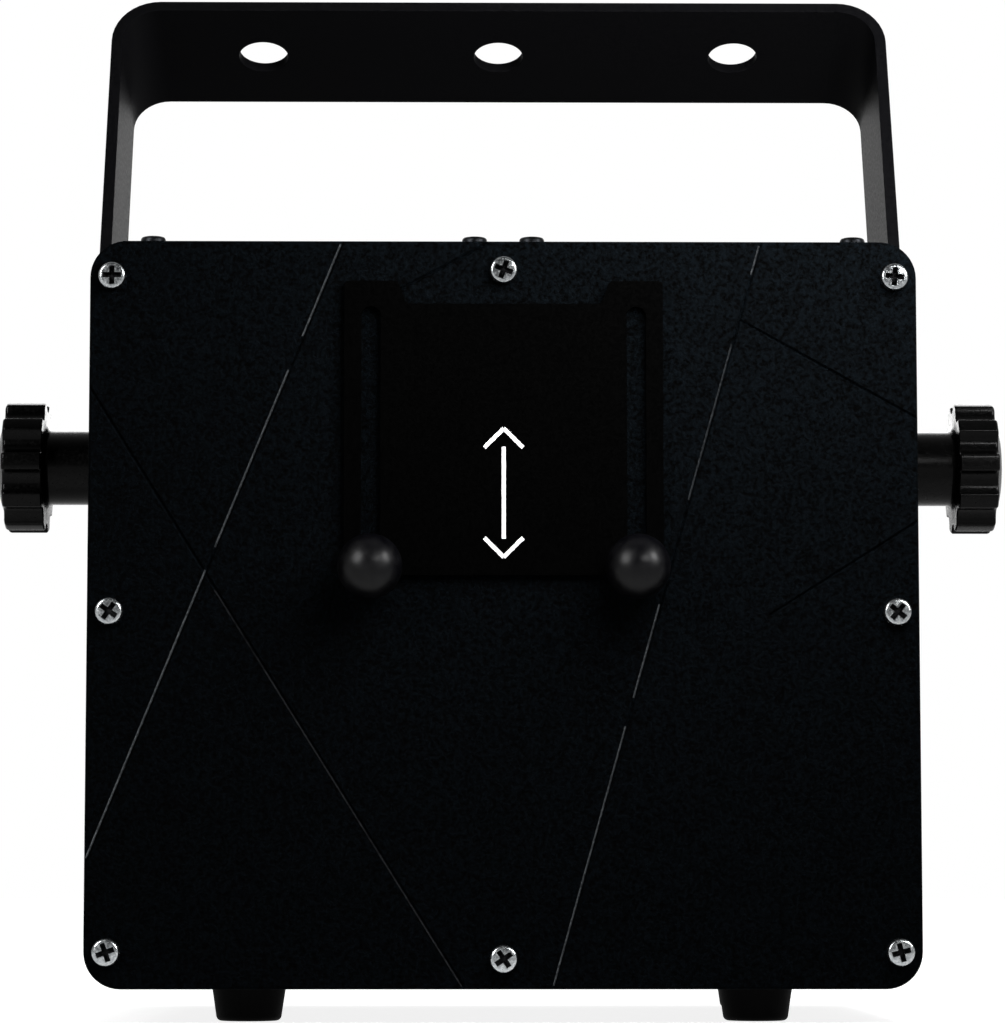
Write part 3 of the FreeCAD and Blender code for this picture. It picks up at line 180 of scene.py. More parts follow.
finishes = dict(
    plate_coat=powderCoat("texturedPowderCoat", "010101", "040608", 0.62, 0.8, 0.22, 0.003),
    shell_coat=powderCoat("sheetPowderCoat", "050607", "0d0f12", 0.62, 0.8, 0.10, 0.12),
    shutter_coat=powderCoat("satinShutterCoat", "010101", "020202", 0.5, 0.6, 0.006, 0.001),
    bracket_coat=powderCoat("satinBracketCoat", "050506", "09090a", 0.52, 0.8, 0.02, 0.004),
    bright_screw=platedMetal("brightZincPlate", "7e8184", "a4a7a8", 0.22, 0.5, 0.0015),
    black_screw=platedMetal("blackOxideSteel", "111213", "1a1b1d", 0.38, 0.5, 0.001),
    steel=platedMetal("turnedSteel", "8d8f92", "a4a6a8", 0.32, 0.4, 0.001),
    knob_plastic=mouldedPlastic("mouldedNylon", "010101", "020202", 0.23, 0.6, 0.006, 0.05),
    ball_plastic=mouldedPlastic("polishedPhenolic", "010102", "030304", 0.36, 2.5, 0.004, 0.095),
    foot_rubber=mouldedPlastic("mouldedRubber", "010101", "030303", 0.66, 0.5, 0.02, 0.03),
    washer_rubber=mouldedPlastic("cutRubberSheet", "101011", "161617", 0.72, 0.4, 0.02),
    window_glass=clearSheet("clearFloatGlass", "eef6f2", 0.0, 0.5),
    mirror_glass=platedMetal("silveredMirror", "dfe4ea", "eef1f4", 0.09, 3.0, 0.0),
    bench_alloy=platedMetal("machinedAluminium", "a9abad", "c3c5c6", 0.34, 0.5, 0.008, (1, 0.08, 1)),
    black_alloy=platedMetal("blackAnodisedAluminium", "141416", "1d1d20", 0.42, 0.5, 0.006),
    board=mouldedPlastic("solderMaskedLaminate", "0d3d22", "125030", 0.34, 1.2, 0.01),
    component=mouldedPlastic("epoxyComponentCase", "141414", "1e1e1f", 0.5, 0.5, 0.01),
    socket_plastic=mouldedPlastic("mouldedPolyamide", "0c0c0d", "131315", 0.45, 0.5, 0.012, 0.2),
    button_plastic=mouldedPlastic("mouldedAbs", "101012", "17171a", 0.38, 0.6, 0.01, 0.2),
    contact_brass=platedMetal("platedBrass", "a88d52", "bda264", 0.26, 0.5, 0.0008),
    nickel=platedMetal("satinNickelPlate", "a3a19c", "b0aea9", 0.3, 0.25, 0.0003),
    fan_plastic=mouldedPlastic("glassFilledPbt", "0d0d0e", "151517", 0.42, 0.5, 0.012, 0.2),
    display_glass=clearSheet("smokedRedAcrylic", "9a1c1a", 0.05, 0.1),
    display_face=mouldedPlastic("blackDisplayBlock", "0a0a0a", "111112", 0.5, 0.8, 0.01),
)
trims = dict(    # finishes of small details that have no slot of their own
    # painted highlight: a bright metal strip in a groove stands in for the light its flank catches
    grooveHighlight=platedMetal("paintedHighlightAluminium", "404346", "5f6265", 0.42, 0.5, 0.004),
    # the same strip dimmed: painted highlight where a flank catches less light
    dimGrooveHighlight=platedMetal("paintedDimHighlightAluminium", "282a2c", "424548", 0.5, 0.9, 0.004),
    # the same strip darker still: painted shade where a flank faces away from the lights
    grooveShade=platedMetal("paintedShadeAluminium", "0b0b0c", "18191a", 0.5, 1.4, 0.004),
    # painted shade: a darker steel for the screws' cross recesses
    recessShade=platedMetal("paintedShadeRecessSteel", "0c0c0d", "1a1a1b", 0.5, 0.5, 0.002),
    whitePrint=mouldedPlastic("screenPrintedInk", "c9cbcc", "d8dadb", 0.6, 0.4, 0.002),
    digitResin=mouldedPlastic("castSegmentResin", "d2b0a8", "dcbab2", 0.5, 0.6, 0.004),
)

nodeSlot = {part["node"]: part["material_slot"] for part in frame["record"]["subparts"]}
for node, slotName in nodeSlot.items():
    mesh = nodes[node].data
    mesh.materials.clear()
    mesh.materials.append(finishes[slotName])
print("materials on the CAD nodes:", len(finishes))


# Mesh helpers

facing = dict(    # turns a piece that is modelled along +Z
    up=Matrix.Identity(4), down=Matrix.Rotation(pi, 4, "X"),
    front=Matrix.Rotation(pi / 2, 4, "X"),
    rear=Matrix.Rotation(pi, 4, "Z") @ Matrix.Rotation(pi / 2, 4, "X"),
    left=Matrix.Rotation(-pi / 2, 4, "Y"), right=Matrix.Rotation(pi / 2, 4, "Y"))


def boxCentre(node):
    low, high = (Vector(corner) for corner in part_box(node))
    return (low + high) / 2


def rearFace(node, depth=0.0):
    # the place on the middle of a node's rear face, or depth millimetres under it
    centre = boxCentre(node)
    return Matrix.Translation((centre.x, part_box(node)[1][1] - depth * mm, centre.z)) @ facing["rear"]


def solidBoxes(node):
    # the boxes of a node's separate solids, in a fixed order
    bm = bmesh.new()
    bm.from_mesh(nodes[node].data)
    bmesh.ops.remove_doubles(bm, verts=bm.verts, dist=weld)
    boxes, left = [], set(bm.verts)
    while left:
        island = [left.pop()]
        for vert in island:
            for edge in vert.link_edges:
                other = edge.other_vert(vert)
                if other in left:
                    left.remove(other)
                    island.append(other)
        axes = list(zip(*[vert.co for vert in island]))
        boxes.append((Vector(map(min, axes)), Vector(map(max, axes))))
    bm.free()
    return sorted(boxes, key=lambda box: [round(value, 5) for value in box[0]])


def only(geom, kind):
    return [item for item in geom if isinstance(item, kind)]


def edgesOf(verts):
    # each edge once, in an order that is the same each run
    return list(dict.fromkeys(edge for vert in verts for edge in vert.link_edges))


def lathe(bm, profile, steps):
    # (radius, height) points in millimetres, spun round Z
    verts = [bm.verts.new((radius * mm, 0, height * mm)) for radius, height in profile]
    edges = [bm.edges.new(pair) for pair in zip(verts, verts[1:])]
    bmesh.ops.spin(bm, geom=verts + edges, cent=(0, 0, 0), axis=(0, 0, 1), angle=2 * pi, steps=steps,
                   use_merge=True)
    bmesh.ops.remove_doubles(bm, verts=bm.verts, dist=weld)


def sweepVert(bm, vert, centre, axis, angle, steps):
    # an arc of edges from one vertex; gives its last vertex
    swept = bmesh.ops.spin(bm, geom=[vert], cent=centre, axis=axis, angle=angle, steps=steps)
    return only(swept["geom_last"], bmesh.types.BMVert)[0]


def raiseLoop(bm, loop, scale, rise):
    # the loop is extruded, scaled about Z and lifted; gives the new loop
    made = bmesh.ops.extrude_edge_only(bm, edges=loop)["geom"]
    verts = only(made, bmesh.types.BMVert)
    bmesh.ops.scale(bm, vec=(scale, scale, 1), verts=verts)
    bmesh.ops.translate(bm, vec=(0, 0, rise), verts=verts)
    return [edge for edge in only(made, bmesh.types.BMEdge) if all(vert in verts for vert in edge.verts)]


def fillBetween(bm, edges):
    return only(bmesh.ops.triangle_fill(bm, edges=edges, use_beauty=True)["geom"], bmesh.types.BMFace)


def thicken(bm, faces, height):
    made = bmesh.ops.extrude_face_region(bm, geom=faces)["geom"]
    bmesh.ops.translate(bm, vec=(0, 0, height), verts=only(made, bmesh.types.BMVert))
    bmesh.ops.recalc_face_normals(bm, faces=bm.faces)


def faceUp(bm):
    # an open sheet's normals agree, and its highest face looks up
    bmesh.ops.recalc_face_normals(bm, faces=bm.faces)
    top = max(bm.faces, key=lambda face: face.calc_center_median().z)
    if top.normal.z < 0:
        bmesh.ops.reverse_faces(bm, faces=bm.faces)


def roundOff(bm, geom, width, segments, affect="EDGES", clamp=True):
    bmesh.ops.bevel(bm, geom=geom, offset=width * mm, affect=affect, segments=segments, profile=0.5,
                    material=-1, clamp_overlap=clamp)


def softenEdges(bm, width, sharpAngle=40, flatAngle=0.5, segments=2):
    # faces in one plane are joined, then the sharp edges get a small round; it isn't clamped, because
    # the room is measured by the cuts that stay in flat faces, and those differ from run to run
    bmesh.ops.dissolve_limit(bm, angle_limit=radians(flatAngle), verts=bm.verts, edges=bm.edges)
    sharp = [edge for edge in bm.edges if edge.is_manifold and edge.calc_face_angle() > radians(sharpAngle)]
    roundOff(bm, sharp, width, segments, clamp=False)


def addBar(bm, start, end, width, height):
    # a flat bar lying on the XY plane from start to end, in millimetres
    start, end = Vector((*start, 0)), Vector((*end, 0))
    run = end - start
    place = Matrix.Translation((start + end) / 2 * mm + Vector((0, 0, height * mm / 2)))
    turn = Matrix.Rotation(atan2(run.y, run.x), 4, "Z")
    size = Matrix.Diagonal((run.length * mm, width * mm, height * mm, 1))
    bmesh.ops.create_cube(bm, size=1, matrix=place @ turn @ size)


def stamp(target, mesh, matrix):
    known = len(target.verts)
    target.from_mesh(mesh)
    target.verts.ensure_lookup_table()
    bmesh.ops.transform(target, matrix=matrix, verts=target.verts[known:])


def finishPiece(name, bm, material, body, replaced=(), smoothAngle=32):
    bmesh.ops.dissolve_degenerate(bm, dist=weld, edges=bm.edges)
    mesh = bpy.data.meshes.new(name)
    bm.to_mesh(mesh)
    bm.free()
    mesh.shade_smooth()
    mesh.set_sharp_from_angle(angle=radians(smoothAngle))
    mesh.materials.append(material)
    piece = bpy.data.objects.new(name, mesh)
    bpy.context.scene.collection.objects.link(piece)
    flatFaces = piece.modifiers.new("flatFaces", "WEIGHTED_NORMAL")
    flatFaces.keep_sharp = True    # the large faces look flat beside their rounds
    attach(piece, body)
    if replaced:
        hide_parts(*replaced)
    return piece


# Screws: pan heads with a cross recess, set where the CAD has them

crossScrew = dict(
    headHeight=2.2, flatShare=0.78, shankRadius=1.5, steps=36, firstTurn=0.35, turnStep=0.61,
    crossReach=0.68, crossHalf=0.19, recessDepth=1.5, recessTaper=0.5,
    headRound=[(1.0, 1.6), (0.94, 0.95), (0.74, 0.45), (0.42, 0.14), (0.0, 0.0)])    # shares out and down
screwSets = [    # downBelow: lower screws than this point down, as those of the feet do
    dict(name="frontScrewHeads", node="front_screws", slot="bright_screw", headRadius=3.0, way="front"),
    dict(name="rearScrewHeads", node="rear_screws", slot="black_screw", headRadius=2.8, way="rear"),
    dict(name="fanScrewHeads", node="fan_screws", slot="black_screw", headRadius=2.8, way="rear"),
    dict(name="panScrewHeads", node="pan_screws", slot="black_screw", headRadius=2.8, way="up",
         downBelow=20.0),
]


def screwMesh(headRadius, shankLength, spec):
    top, shank = spec["headHeight"], spec["shankRadius"]
    flat = headRadius * spec["flatShare"]
    bend = headRadius - flat
    profile = [(0, -shankLength), (shank, -shankLength), (shank, 0), (headRadius, 0)]
    profile += [(flat + out * bend, top - down * bend) for out, down in spec["headRound"]]
    bm = bmesh.new()
    lathe(bm, profile, spec["steps"])
    rim = [edge for edge in bm.edges if edge.is_boundary]
    reach, half = headRadius * spec["crossReach"], headRadius * spec["crossHalf"]
    corners = []
    for quarter in range(4):
        turn = Matrix.Rotation(quarter * pi / 2, 3, "Z")
        for x, y in ((reach, -half), (reach, half), (half, half)):
            corners.append(bm.verts.new(turn @ Vector((x, y, top)) * mm))
    recess = bm.faces.new(corners)
    outline = list(recess.edges)
    made = bmesh.ops.extrude_face_region(bm, geom=[recess])["geom"]
    sunk = only(made, bmesh.types.BMVert)
    bmesh.ops.translate(bm, vec=(0, 0, -spec["recessDepth"] * mm), verts=sunk)
    bmesh.ops.scale(bm, vec=(spec["recessTaper"], spec["recessTaper"], 1), verts=sunk)
    bmesh.ops.delete(bm, geom=[recess], context="FACES_ONLY")
    for face in {face for vert in sunk for face in vert.link_faces}:
        face.material_index = 1    # painted shade: the faces down in the recess get a darker steel
    fillBetween(bm, rim + outline)
    bmesh.ops.recalc_face_normals(bm, faces=bm.faces)
    mesh = bpy.data.meshes.new("screwTemplate")
    bm.to_mesh(mesh)
    bm.free()
    return mesh


def addScrews(spec, shape):
    bm = bmesh.new()
    for count, (low, high) in enumerate(solidBoxes(spec["node"])):
        way = "down" if low.z < spec.get("downBelow", 0.0) * mm else spec["way"]
        axis = facing[way] @ Vector((0, 0, 1))
        length = abs((high - low).dot(axis))
        seat = (low + high) / 2 + axis * (length / 2 - shape["headHeight"] * mm)
        if count == 0:
            template = screwMesh(spec["headRadius"], length / mm - shape["headHeight"], shape)
        spun = Matrix.Rotation(shape["firstTurn"] + count * shape["turnStep"], 4, "Z")
        stamp(bm, template, Matrix.Translation(seat) @ facing[way] @ spun)
    bpy.data.meshes.remove(template)
    piece = finishPiece(spec["name"], bm, finishes[spec["slot"]], "housing", [spec["node"]])
    # the recess faces take the painted shade
    piece.data.materials.append(trims["recessShade"])


for spec in screwSets:
    addScrews(spec, crossScrew)
print("screws set:", len(screwSets), "kinds")


# Ball knobs of the shutter

ballKnob = dict(radius=7.0, around=72, rings=44, flatRadius=4.4, flatRound=0.35, roundSteps=3,
                studRadius=1.95)


def addBallKnob(side, spec):
    node = side + "_ball_knob"
    low, high = (Vector(corner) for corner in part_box(node))
    centre = Vector(((low.x + high.x) / 2, low.y + spec["radius"] * mm, (low.z + high.z) / 2))
    seat = sqrt(spec["radius"] ** 2 - spec["flatRadius"] ** 2) * mm
    bm = bmesh.new()
    bmesh.ops.create_uvsphere(bm, u_segments=spec["around"], v_segments=spec["rings"],
                              radius=spec["radius"] * mm)
    bmesh.ops.bisect_plane(bm, geom=bm.verts[:] + bm.edges[:] + bm.faces[:], plane_co=(0, 0, -seat),
                           plane_no=(0, 0, -1), clear_outer=True)
    bmesh.ops.remove_doubles(bm, verts=bm.verts, dist=weld)
    rim = [edge for edge in bm.edges if edge.is_boundary]
    bmesh.ops.contextual_create(bm, geom=rim)
    roundOff(bm, rim, spec["flatRound"], spec["roundSteps"])
    flat = [max(bm.faces, key=lambda face: len(face.verts))]
    ledge = spec["flatRadius"] - spec["flatRound"] - spec["studRadius"]
    bmesh.ops.inset_region(bm, faces=flat, thickness=ledge * mm)
    made = bmesh.ops.extrude_face_region(bm, geom=flat)["geom"]
    bmesh.ops.delete(bm, geom=flat, context="FACES_ONLY")
    bmesh.ops.translate(bm, vec=(0, 0, -(high.y - centre.y - seat)), verts=only(made, bmesh.types.BMVert))
    bmesh.ops.recalc_face_normals(bm, faces=bm.faces)
    bmesh.ops.transform(bm, matrix=Matrix.Translation(centre) @ facing["front"], verts=bm.verts)
    finishPiece(side + "BallKnob", bm, finishes["ball_plastic"], side + "_ball", [node])


# Clamp knobs: a fluted head on a plain hub

clampKnob = dict(
    hubRadius=8.6, hubLength=11.3, hubChamfer=0.6, flare=1.2, flareBend=(0.3, 0.4), steps=64,
    boreRadius=3.0, boreDepth=16.0, headRadius=15.2, rim=9.2, innerChamfer=0.3, innerScale=0.98,
    flutes=10, fluteRadius=3.2, fluteDepth=2.1, fluteSteps=8,
    crestSteps=4, crestAngle=30, crestRound=0.5, roundSteps=4,
    rimRound=[(1.0, -0.8), (0.992, -0.42), (0.973, -0.13), (0.945, 0.0)],    # scale, height over the rim
    dome=[(11.8, 0.0), (11.4, 0.12), (10.0, 0.7), (8.4, 1.2), (6.0, 1.56), (3.0, 1.75), (0.0, 1.8)])


def openEdgesAt(bm, height):
    return [edge for edge in bm.edges
            if edge.is_boundary and all(abs(vert.co.z - height * mm) < weld for vert in edge.verts)]


def flutedLoop(bm, spec, height):
    rim, flute = spec["headRadius"], spec["fluteRadius"]
    reach = rim - spec["fluteDepth"] + flute
    half = acos((rim ** 2 + reach ** 2 - flute ** 2) / (2 * rim * reach))
    bow = 2 * asin(rim * sin(half) / flute)
    step = 2 * pi / spec["flutes"]
    vert = bm.verts.new(Vector((rim * cos(half), rim * sin(half), height)) * mm)
    for count in range(1, spec["flutes"] + 1):
        vert = sweepVert(bm, vert, (0, 0, 0), (0, 0, 1), step - 2 * half, spec["crestSteps"])
        centre = Vector((reach * cos(count * step), reach * sin(count * step), height)) * mm
        vert = sweepVert(bm, vert, centre, (0, 0, 1), -bow, spec["fluteSteps"])
    bmesh.ops.remove_doubles(bm, verts=bm.verts, dist=weld)
    sharp = radians(spec["crestAngle"])
    crests = [vert for vert in bm.verts if vert.is_wire and vert.calc_edge_angle(0) > sharp]
    roundOff(bm, crests, spec["crestRound"], spec["roundSteps"], "VERTICES")
    return [edge for edge in bm.edges if edge.is_wire]


def addClampKnob(side, spec):
    node = side + "_clamp_knob"
    low, high = (Vector(corner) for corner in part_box(node))
    hub, bore, flare, chamfer = spec["hubRadius"], spec["boreRadius"], spec["flare"], spec["hubChamfer"]
    out, down = (share * flare for share in spec["flareBend"])
    end = -spec["hubLength"]
    boreEnd = end + spec["boreDepth"]
    bm = bmesh.new()
    lathe(bm, [(0, boreEnd), (bore, boreEnd), (bore, end), (hub - chamfer, end), (hub, end + chamfer),
               (hub, -flare), (hub + out, -down), (hub + flare, 0)], spec["steps"])
    outline = flutedLoop(bm, spec, spec["innerChamfer"])
    raiseLoop(bm, outline, spec["innerScale"], -spec["innerChamfer"] * mm)
    loop, lastScale, lastHeight = outline, 1.0, spec["innerChamfer"]
    for scale, over in spec["rimRound"]:
        loop = raiseLoop(bm, loop, scale / lastScale, (spec["rim"] + over - lastHeight) * mm)
        lastScale, lastHeight = scale, spec["rim"] + over
    lathe(bm, [(radius, spec["rim"] + over) for radius, over in spec["dome"]], spec["steps"])
    for height in (0, spec["rim"]):
        fillBetween(bm, openEdgesAt(bm, height))
    bmesh.ops.recalc_face_normals(bm, faces=bm.faces)
    neck = boxCentre(node)
    neck.x = high.x + end * mm if side == "left" else low.x - end * mm
    bmesh.ops.transform(bm, matrix=Matrix.Translation(neck) @ facing[side], verts=bm.verts)
    finishPiece(side + "ClampKnob", bm, finishes["knob_plastic"], side + "_knob", [node])


for side in ("left", "right"):
    addBallKnob(side, ballKnob)
    addClampKnob(side, clampKnob)
print("ball knobs and clamp knobs modelled")


# Shutter: a flat plate with two long slots and a round lug under each

shutterPlate = dict(thick=1.5, earHeight=5.0, earInner=23.0, earSlant=1.8, cornerRound=0.8, roundSteps=3,
                    edge=0.02, slotX=28.8, slotHalf=2.1, slotTopWall=0.6, slotSteps=32,
                    lugRadius=5.2, lugRise=1.5, lugSteps=20)


def addShutter(spec):
    low, high = (Vector(corner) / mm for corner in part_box("shutter_plate"))
    half, top, ear = high.x, high.z - spec["earHeight"], spec["earInner"]
    studZ = low.z + spec["lugRadius"]
    bottom = studZ - spec["lugRise"]
    bite = sqrt(spec["lugRadius"] ** 2 - spec["lugRise"] ** 2)
    sweep = pi - 2 * asin(spec["lugRise"] / spec["lugRadius"])
    bm = bmesh.new()
    corners = [bm.verts.new(Vector((x, z, 0)) * mm) for x, z in (
        (half, bottom), (half, high.z), (ear, high.z), (ear - spec["earSlant"], top),
        (spec["earSlant"] - ear, top), (-ear, high.z), (-half, high.z), (-half, bottom))]
    path, arcStarts = corners[:], []
    for side in (-1, 1):
        stud = Vector((side * spec["slotX"], studZ, 0)) * mm
        start = bm.verts.new(Vector((side * spec["slotX"] - bite, bottom, 0)) * mm)
        path += [start, sweepVert(bm, start, stud, (0, 0, 1), sweep, spec["lugSteps"])]
        arcStarts.append(start)
    for first, second in zip(path, path[1:] + path[:1]):
        if first not in arcStarts:    # the arcs have their edges
            bm.edges.new((first, second))
    roundOff(bm, corners, spec["cornerRound"], spec["roundSteps"], "VERTICES")
    for side in (-1, 1):
        place = Matrix.Translation(Vector((side * spec["slotX"], studZ, 0)) * mm)
        turn = Matrix.Rotation(pi / spec["slotSteps"], 4, "Z")    # half a step, so the circle splits in two
        made = bmesh.ops.create_circle(bm, segments=spec["slotSteps"], radius=spec["slotHalf"] * mm,
                                       matrix=place @ turn)["verts"]
        upper = [vert for vert in made if vert.co.y > studZ * mm]
        rise = top - spec["slotTopWall"] - spec["slotHalf"] - studZ
        bmesh.ops.translate(bm, vec=(0, rise * mm, 0), verts=upper)
    thicken(bm, fillBetween(bm, bm.edges[:]), spec["thick"] * mm)
    softenEdges(bm, spec["edge"])
    place = Matrix.Translation((0, high.y * mm, 0))
    bmesh.ops.transform(bm, matrix=place @ facing["front"], verts=bm.verts)
    finishPiece("shutterPlate", bm, finishes["shutter_coat"], "shutter", ["shutter_plate"])


addShutter(shutterPlate)


# Bracket: one strip with two bends, three holes in the bar and round arm ends

bracketStrip = dict(width=38.0, thick=2.7, bend=11.5, bendSteps=10, reach=120.5, tilt=24.0, edge=0.24,
                    holeRadius=6.0, holePitch=58.0, holeSteps=48, boltRadius=3.1, boltSteps=32, endSteps=32)


def addBracket(spec):
    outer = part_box("bracket")[1][0] / mm
    flat, half = outer - spec["bend"], spec["width"] / 2
    bm = bmesh.new()
    corners = [bm.verts.new(Vector((x, y, spec["reach"])) * mm) for x, y in (
        (-flat, -half), (flat, -half), (flat, half), (-flat, half))]
    rim = [bm.edges.new(pair) for pair in zip(corners, corners[1:] + corners[:1])]
    for count in (-1, 0, 1):
        place = Matrix.Translation(Vector((count * spec["holePitch"], 0, spec["reach"])) * mm)
        bmesh.ops.create_circle(bm, segments=spec["holeSteps"], radius=spec["holeRadius"] * mm, matrix=place)
    fillBetween(bm, bm.edges[:])
    for side, end in ((1, rim[1]), (-1, rim[3])):
        pivot = Vector((side * outer, 0, 0)) * mm
        bendAxis = Vector((side * flat, 0, spec["reach"] - spec["bend"])) * mm
        swept = bmesh.ops.spin(bm, geom=[end, *end.verts], cent=bendAxis, axis=(0, 1, 0), angle=side * pi / 2,
                               steps=spec["bendSteps"])
        last = only(swept["geom_last"], bmesh.types.BMVert)
        foot = bm.verts.new(Vector((side * outer, -half, 0)) * mm)
        heel = sweepVert(bm, foot, pivot, (1, 0, 0), pi, spec["endSteps"])
        front, back = sorted(last, key=lambda vert: vert.co.y)
        arm = [edge for edge in bm.edges if edge.is_wire]
        arm += [bm.edges.new((front, foot)), bm.edges.new((back, heel))]
        arm += only(swept["geom_last"], bmesh.types.BMEdge)
        hole = bmesh.ops.create_circle(bm, segments=spec["boltSteps"], radius=spec["boltRadius"] * mm,
                                       matrix=Matrix.Translation(pivot) @ facing["right"])["verts"]
        arm += edgesOf(hole)
        fillBetween(bm, arm)
    bmesh.ops.remove_doubles(bm, verts=bm.verts, dist=weld)
    faceUp(bm)
    bmesh.ops.solidify(bm, geom=bm.faces[:], thickness=spec["thick"] * mm)
    softenEdges(bm, spec["edge"])
    tilt = Matrix.Rotation(-radians(spec["tilt"]), 4, "X")
    centre = boxCentre("left_clamp_knob")
    bmesh.ops.transform(bm, matrix=Matrix.Translation((0, centre.y, centre.z)) @ tilt, verts=bm.verts)
    finishPiece("bracketStrip", bm, finishes["bracket_coat"], "bracket", ["bracket"])


addBracket(bracketStrip)
print("shutter and bracket modelled")


# Fan guard of bent and welded round wire

fanGuard = dict(wire=0.9, sections=12, rings=4, outerRing=29.3, pitch=6.4, ringSteps=96,
                eyeAt=25.0, eyeRadius=3.3, eyeSteps=32)


def addWireRing(bm, centre, radius, steps, spec):
    place = Matrix.Translation((centre + Vector((radius, 0, 0))) * mm)
    made = bmesh.ops.create_circle(bm, segments=spec["sections"], radius=spec["wire"] * mm,
                                   matrix=place @ Matrix.Rotation(pi / 2, 4, "X"))["verts"]
    bmesh.ops.spin(bm, geom=made + edgesOf(made), cent=centre * mm, axis=(0, 0, 1), angle=2 * pi, steps=steps,
                   use_merge=True)


def addFanGuard(spec):
    corner = spec["eyeAt"] * sqrt(2)
    inner = spec["outerRing"] - (spec["rings"] - 1) * spec["pitch"]
    outer = corner - spec["eyeRadius"]
    bm = bmesh.new()
    for count in range(spec["rings"]):
        addWireRing(bm, Vector(), spec["outerRing"] - count * spec["pitch"], spec["ringSteps"], spec)
    for quarter in range(4):
        turn = Matrix.Rotation(pi / 4 + quarter * pi / 2, 4, "Z")
        addWireRing(bm, turn @ Vector((corner, 0, 0)), spec["eyeRadius"], spec["eyeSteps"], spec)
        middle = Matrix.Translation(((inner + outer) / 2 * mm, 0, 0))
        bmesh.ops.create_cone(bm, cap_ends=True, segments=spec["sections"], radius1=spec["wire"] * mm,
                              radius2=spec["wire"] * mm, depth=(outer - inner) * mm,
                              matrix=turn @ middle @ facing["right"])
    bmesh.ops.recalc_face_normals(bm, faces=bm.faces)
    place = Matrix.Translation(boxCentre("fan_guard"))
    bmesh.ops.transform(bm, matrix=place @ facing["rear"], verts=bm.verts)
    finishPiece("fanGuardWires", bm, finishes["black_screw"], "housing", ["fan_guard"])


addFanGuard(fanGuard)


# Painted highlights in the front plate's grooves: thin bright metal strips stand in for the light the groove
# flanks catch, and dimmer and darker copies paint the shade where a flank catches less

grooveHighlightStrips = dict(width=0.4, skin=0.03, faceDepth=0.05, lines=[    # each shade of painted highlight has its shares of the line
    dict(start=(-35.0, 162.0), end=(-90.0, 26.5), grooveHighlight=[(0.006, 0.155), (0.21, 0.495), (0.532, 0.99)]),
    dict(start=(56.2, 162.0), end=(10.7, 0.0), grooveHighlight=[(0.006, 0.045), (0.49, 0.615), (0.653, 0.995)],
         dimGrooveHighlight=[(0.14, 0.35)]),
    dict(start=(-90.0, 130.0), end=(-8.3, 0.0), grooveShade=[(0.34, 0.994)]),
])


def addGrooveHighlightStrips(spec):
    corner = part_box("front_plate")[0]
    width, skin, lip = spec["width"], spec["skin"], spec["faceDepth"]
    tip = lip + width
    across = [(0, -tip), (width, -lip), (width - skin, -lip), (0, skin - tip)]
    # one piece for each shade of painted highlight: a bright flank, a dimmed flank and a shaded flank
    for kind in ("grooveHighlight", "dimGrooveHighlight", "grooveShade"):
        bm = bmesh.new()
        for line in spec["lines"]:
            start, end = (Vector((*line[key], 0)) for key in ("start", "end"))
            run = end - start
            side = run.normalized().cross(Vector((0, 0, 1)))
            for first, last in line.get(kind, []):
                points = [start + run * first + side * u + Vector((0, 0, depth)) for u, depth in across]
                section = bm.faces.new([bm.verts.new(point * mm) for point in points])
                made = bmesh.ops.extrude_face_region(bm, geom=[section])["geom"]
                bmesh.ops.translate(bm, vec=run * (last - first) * mm, verts=only(made, bmesh.types.BMVert))
        bmesh.ops.recalc_face_normals(bm, faces=bm.faces)
        place = Matrix.Translation((0, corner[1], corner[2]))
        bmesh.ops.transform(bm, matrix=place @ facing["front"], verts=bm.verts)
        finishPiece(kind + "Lines", bm, trims[kind], "housing", smoothAngle=20)


addGrooveHighlightStrips(grooveHighlightStrips)


# Printed marks: a plain slide mark on the shutter, ticks round the sensitivity knob and its pointer line

slideMark = dict(thick=0.04, line=0.9, stem=(104.0, 124.0), chevrons=((100.0, -1), (128.0, 1)),
                 reach=4.2, rise=4.2,
                 limbs=((-1, 0.05), (1, 0.07)))    # side and thickness, uneven so that no faces coincide
dialMark = dict(thick=0.04, line=0.6, inner=8.7, outer=10.6, count=11, sweep=300.0, pointer=(1.6, 5.6))


def addSlideMark(spec):
    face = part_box("shutter_plate")[0][1]
    bm = bmesh.new()
    addBar(bm, (0, spec["stem"][0]), (0, spec["stem"][1]), spec["line"], spec["thick"])
    for height, way in spec["chevrons"]:
        for side, thick in spec["limbs"]:
            addBar(bm, (side * spec["reach"], height - way * spec["rise"]), (0, height), spec["line"], thick)
    bmesh.ops.transform(bm, matrix=Matrix.Translation((0, face, 0)) @ facing["front"], verts=bm.verts)
    finishPiece("slideMark", bm, trims["whitePrint"], "shutter")


def addDialMark(spec):
    centre = boxCentre("sensitivity_knob")
    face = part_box("rear_panel")[1][1]
    bm = bmesh.new()
    for count in range(spec["count"]):
        angle = radians(90 - spec["sweep"] / 2 + count * spec["sweep"] / (spec["count"] - 1))
        ray = Vector((cos(angle), sin(angle)))
        addBar(bm, ray * spec["inner"], ray * spec["outer"], spec["line"], spec["thick"])
    place = Matrix.Translation((centre.x, face, centre.z))
    bmesh.ops.transform(bm, matrix=place @ facing["rear"], verts=bm.verts)
    finishPiece("dialTicks", bm, trims["whitePrint"], "housing")


def addPointer(spec):
    bm = bmesh.new()
    addBar(bm, (0, spec["pointer"][0]), (0, spec["pointer"][1]), spec["line"], spec["thick"])
    bmesh.ops.transform(bm, matrix=rearFace("sensitivity_knob"), verts=bm.verts)
    finishPiece("knobPointer", bm, trims["whitePrint"], "sensitivity_knob")


addSlideMark(slideMark)
addDialMark(dialMark)
addPointer(dialMark)


# Display: four unlit seven-segment digits on the block behind the window

digitRow = dict(count=4, pitch=9.0, width=5.0, height=10.0, bar=1.1, gap=0.25, thick=0.05, slant=0.12)


